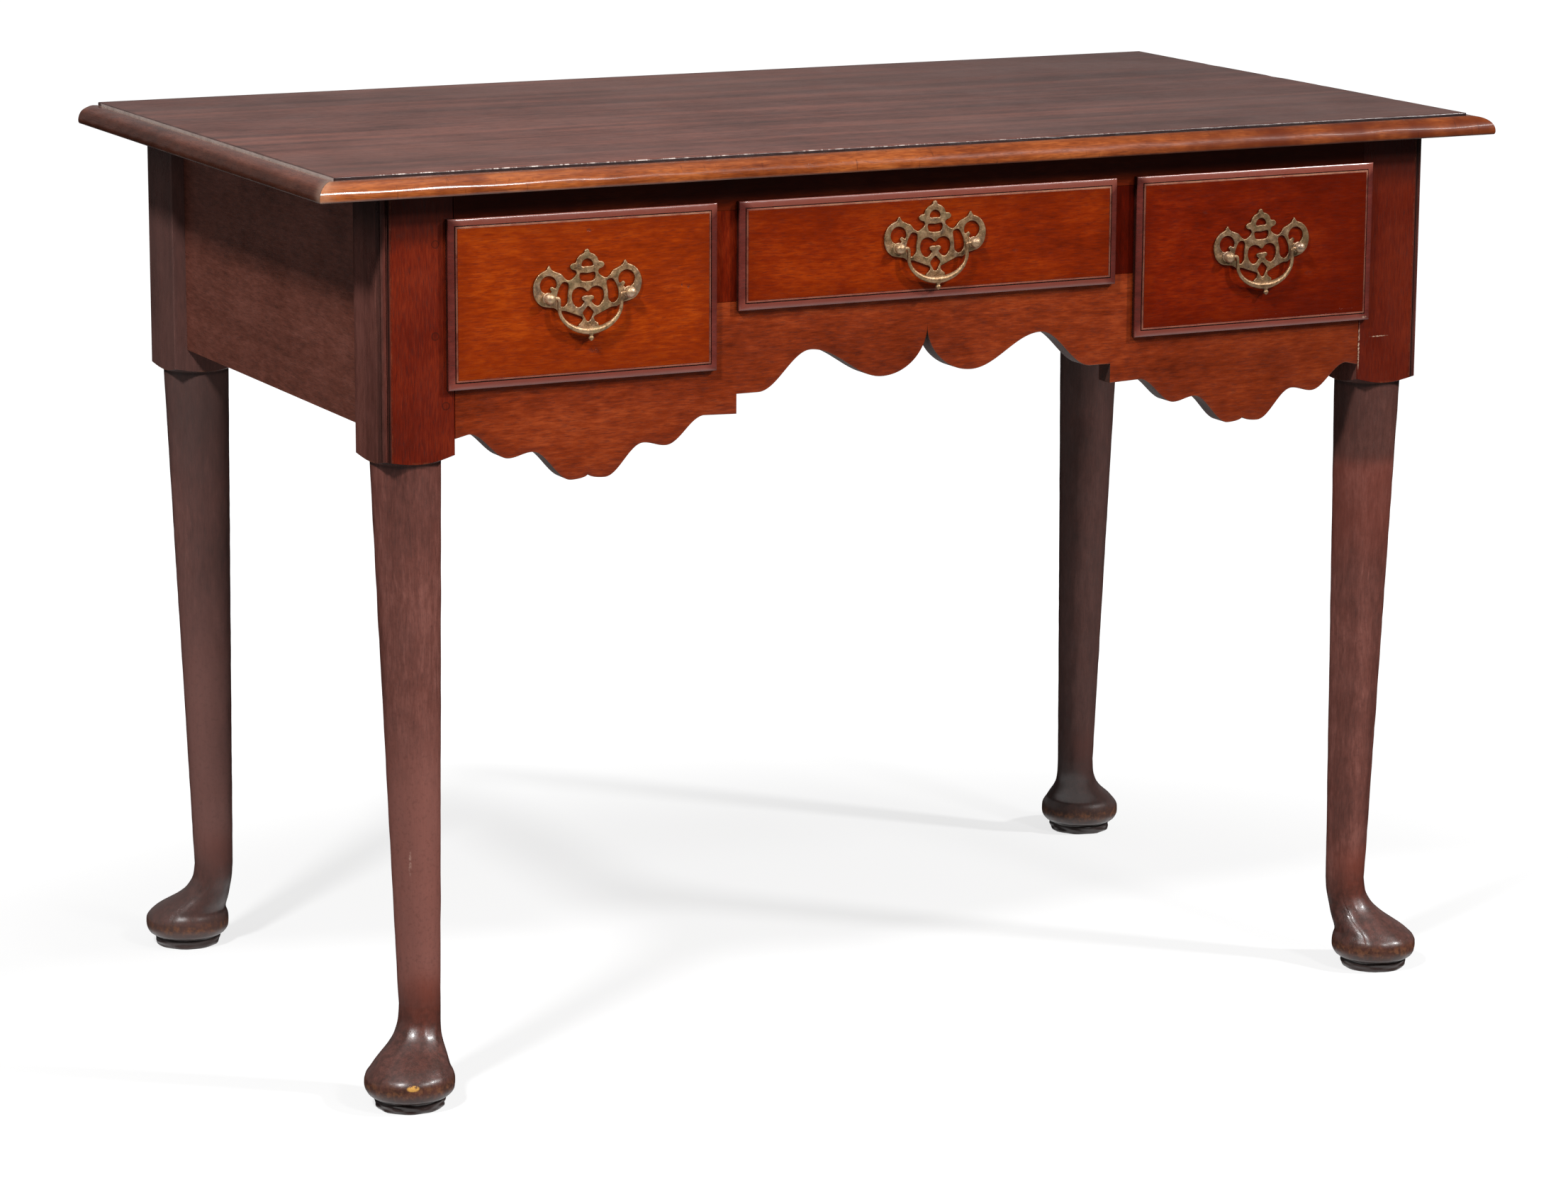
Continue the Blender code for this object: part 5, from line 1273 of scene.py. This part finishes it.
def makePlate(word, material):
    # a flat outline with its piercings, given a thickness and bevelled arrises
    shape = plateShape
    name = f"pierced_plate_{word}"
    loops = [roundedLoop(mirroredLoop(shape["edge"]), 4)]
    loops += [roundedLoop(mirroredLoop(hole), 5) for hole in shape["middleHoles"]]
    loops += [roundedLoop(np.array(hole) * (side, 1), 4) for side in (1, -1) for hole in shape["sideHoles"]]
    curve = bpy.data.curves.new(f"plate_{word}", "CURVE")
    curve.dimensions = "2D"
    curve.fill_mode = "BOTH"
    curve.extrude = shape["thick"] / 2 - shape["bevel"]
    curve.bevel_depth = shape["bevel"]
    curve.bevel_resolution = 2
    curve.offset = -shape["bevel"]
    for loop in loops:
        spline = curve.splines.new("POLY")
        spline.points.add(len(loop) - 1)
        flat = np.column_stack([loop * mm, np.zeros(len(loop)), np.ones(len(loop))])
        spline.points.foreach_set("co", flat.ravel())
        spline.use_cyclic_u = True
    holder = added(f"plate_{word}", curve)
    bpy.context.view_layer.update()
    mesh = bpy.data.meshes.new_from_object(holder.evaluated_get(bpy.context.evaluated_depsgraph_get()))
    bpy.data.objects.remove(holder)
    points = np.zeros(len(mesh.vertices) * 3)
    mesh.vertices.foreach_get("co", points)
    fall = (shape["thick"] / 2 - points[2::3]) / shape["bevel"]  # 0 on the front, 1 and over past the bevel
    setMark(mesh, "grime", np.clip(fall, 0, 1))
    stand = Matrix.Translation((0, -shape["thick"] / 2 - brassShape["gap"], 0))
    onDrawer(mesh, word, stand @ Matrix.Rotation(quarterTurn, 4, "X"))
    mesh.name = name
    finishMesh(mesh, 30, [material])
    return dress(added(name, mesh), f"drawer_{word}", "aged_brass", f"handle_{word}_plate")


def makePost(word, side, material):
    # a turned profile (distance from the board, radius) spun about its own axis
    shape, gap, shank = brassShape, brassShape["gap"], brassShape["shank"]
    head, flange, nutRadius = shape["headRadius"], shape["flange"], shape["nutRadius"]
    seat = plateShape["thick"] + 2 * gap
    turn = np.linspace(0.02, np.radians(128), 16)
    ball = np.column_stack([shape["standoff"] + head * np.cos(turn), head * np.sin(turn)])
    foot = [(seat + 1.3 * mm, 0.62 * flange), (seat + 0.9 * mm, 0.70 * flange),
            (seat + 0.7 * mm, 0.92 * flange), (seat + 0.45 * mm, flange), (seat, flange), (seat, shank)]
    nut = -shape["board"] - gap
    end = nut - shape["nutThick"]
    inside = [(nut, shank), (nut, nutRadius), (end, nutRadius), (end, shank), (end - 1.1 * mm, shank),
              (end - 1.2 * mm, 0.3 * mm)]
    profile = np.vstack([ball, foot, inside])
    angle = np.linspace(0, fullTurn, 28, endpoint=False)
    along, radius = profile[:, :1], profile[:, 1:]
    uneven = ripple(along * 700, angle[None] * 1.0, shape["postSeed"] + side + len(word), 4, 1.0, 4.0)
    radius = radius * (1 + shape["uneven"] * uneven * (along > 3 * mm))
    grid = np.stack([radius * np.cos(angle) + side * plateShape["postSpacing"] / 2, -along + 0 * angle,
                     radius * np.sin(angle)], -1)
    where = "right" if side > 0 else "left"
    piece = gridPiece(f"turned_handle_{word}_post_{where}", grid, [material], sharp=40)
    onDrawer(piece.data, word)
    return dress(piece, f"drawer_{word}", "aged_brass", f"handle_{word}_post_{where}")


def bailLine(shape, spacing):
    # pin, round elbow, straight neck, quarter of an ellipse to the middle: X, Z and share of the swelling
    pinEnd = spacing / 2 - shape["headRadius"] + shape["pinDepth"]
    elbow = np.linspace(0, quarterTurn, 6)
    bend = np.column_stack([shape["arm"] + shape["elbow"] * (1 - np.sin(elbow)),
                            -shape["elbow"] * (1 - np.cos(elbow)), 0 * elbow])
    turn = np.linspace(0, quarterTurn, 34)
    swell = np.clip((np.degrees(turn) - shape["swellStart"]) / (90 - shape["swellStart"]), 0, 1)
    sweep = np.column_stack([shape["arm"] * np.cos(turn),
                             -shape["neck"] - (shape["drop"] - shape["neck"]) * np.sin(turn), swell ** 1.25])
    neck = np.linspace(0, 1, 4, endpoint=False)[1:, None]
    straight = bend[-1] * (1 - neck) + sweep[0] * neck
    half = np.vstack([[(pinEnd, 0, 0)], bend, straight, sweep])
    return np.vstack([half, half[:-1][::-1] * (-1, 1, 1)])


def makeBail(word, material):
    # a round bar carried along its line; a turned drop hangs from the middle
    shape = brassShape
    line = bailLine(shape, plateShape["postSpacing"])
    tangent = np.gradient(line[:, :2], axis=0)
    tangent /= np.linalg.norm(tangent, axis=1)[:, None]
    radius = (shape["endRadius"] + (shape["middleRadius"] - shape["endRadius"]) * line[:, 2])[:, None]
    angle = np.linspace(0, fullTurn, 20, endpoint=False)
    across = radius * np.cos(angle)
    grid = np.stack([line[:, :1] + tangent[:, 1:] * across, -shape["standoff"] + radius * np.sin(angle),
                     line[:, 1:2] - tangent[:, :1] * across], -1)
    piece = gridPiece(f"swept_handle_{word}_bail", grid, [material], sharp=50)
    height, radius = roundedLoop(np.array(shape["dropProfile"]) * mm, 3, False).T[..., None]
    turn = np.linspace(0, fullTurn, 18, endpoint=False)
    grid = np.stack([radius * np.cos(turn), -shape["standoff"] + radius * np.sin(turn),
                     -shape["drop"] - shape["middleRadius"] + height + 0 * turn], -1)
    drop = gridPiece(f"drop_{word}", grid, [material], sharp=50)
    for part in (piece, drop):
        onDrawer(part.data, word)
    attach(drop, f"bail_{word}")
    return dress(piece, f"bail_{word}", "aged_brass", f"handle_{word}_bail")


# Carried-over boards

boardFinishes = {
    "drawer_divider_left": "frontUprights",
    "drawer_divider_right": "darkUpright",
    "side_panel_left": "sidePanel",
    "side_panel_right": "sidePanel",
}


def assign(node, material):
    mesh = nodes[node].data
    mesh.materials.clear()
    mesh.materials.append(material)


def finishBoards():
    made = {name: Wood(name).polish() for name in sorted(set(boardFinishes.values()))}
    for node, name in boardFinishes.items():
        assign(node, made[name])
    grains = {axis: oak(f"oakAlong{axis.upper()}", axis, (0.2 * index, 0.4, 0.9 * index))
              for index, axis in enumerate("xyz")}
    for node in nodes:
        ofDrawer = node.startswith("drawer")
        if node.startswith(("runner", "kicker", "top_cleat", "partition")) or ofDrawer and "_side_" in node:
            assign(node, grains["y"])
        elif node == "back_panel" or ofDrawer and node.endswith(("_back", "_bottom")):
            assign(node, grains["x"])
    print("boards finished")


drawerFronts = {word: drawerFinish(word) for word in handleSets}
for word, front in drawerFronts.items():
    assign(f"drawer_{word}_front", front)
finishBoards()

legMaterials = [legBlockFinish(), legShaftFinish()]
for end, where in ((-1, "front"), (1, "back")):
    for side, word in ((-1, "left"), (1, "right")):
        makeLeg(f"leg_{where}_{word}", side, end, legMaterials)
print("legs turned")

makeTopField(topFinish())
makeTopEdge("top_moulding_front", "x", 0, wornMahogany("frontMoulding"))
sideEdge = wornMahogany("sideMoulding")
makeTopEdge("top_moulding_left", "y", -1, sideEdge)
makeTopEdge("top_moulding_right", "y", 1, sideEdge)
print("top made")

drawerEdgeFinish = wornMahogany("drawerEdge")
for word, front in drawerFronts.items():
    makeDrawerEdge(word, (drawerEdgeFinish, front))
makeApron(wornMahogany("frontFrame"))
assign("front_top_rail", wornMahogany("shadedRail"))
print("drawer mouldings and apron made")

plateBrass, brightBrass = agedBrass("plateBrass", 0.0), agedBrass("brightBrass", 1.0)
for word in handleSets:
    makePlate(word, plateBrass)
    for side in (-1, 1):
        makePost(word, side, brightBrass)
    makeBail(word, plateBrass)
print("handles made")
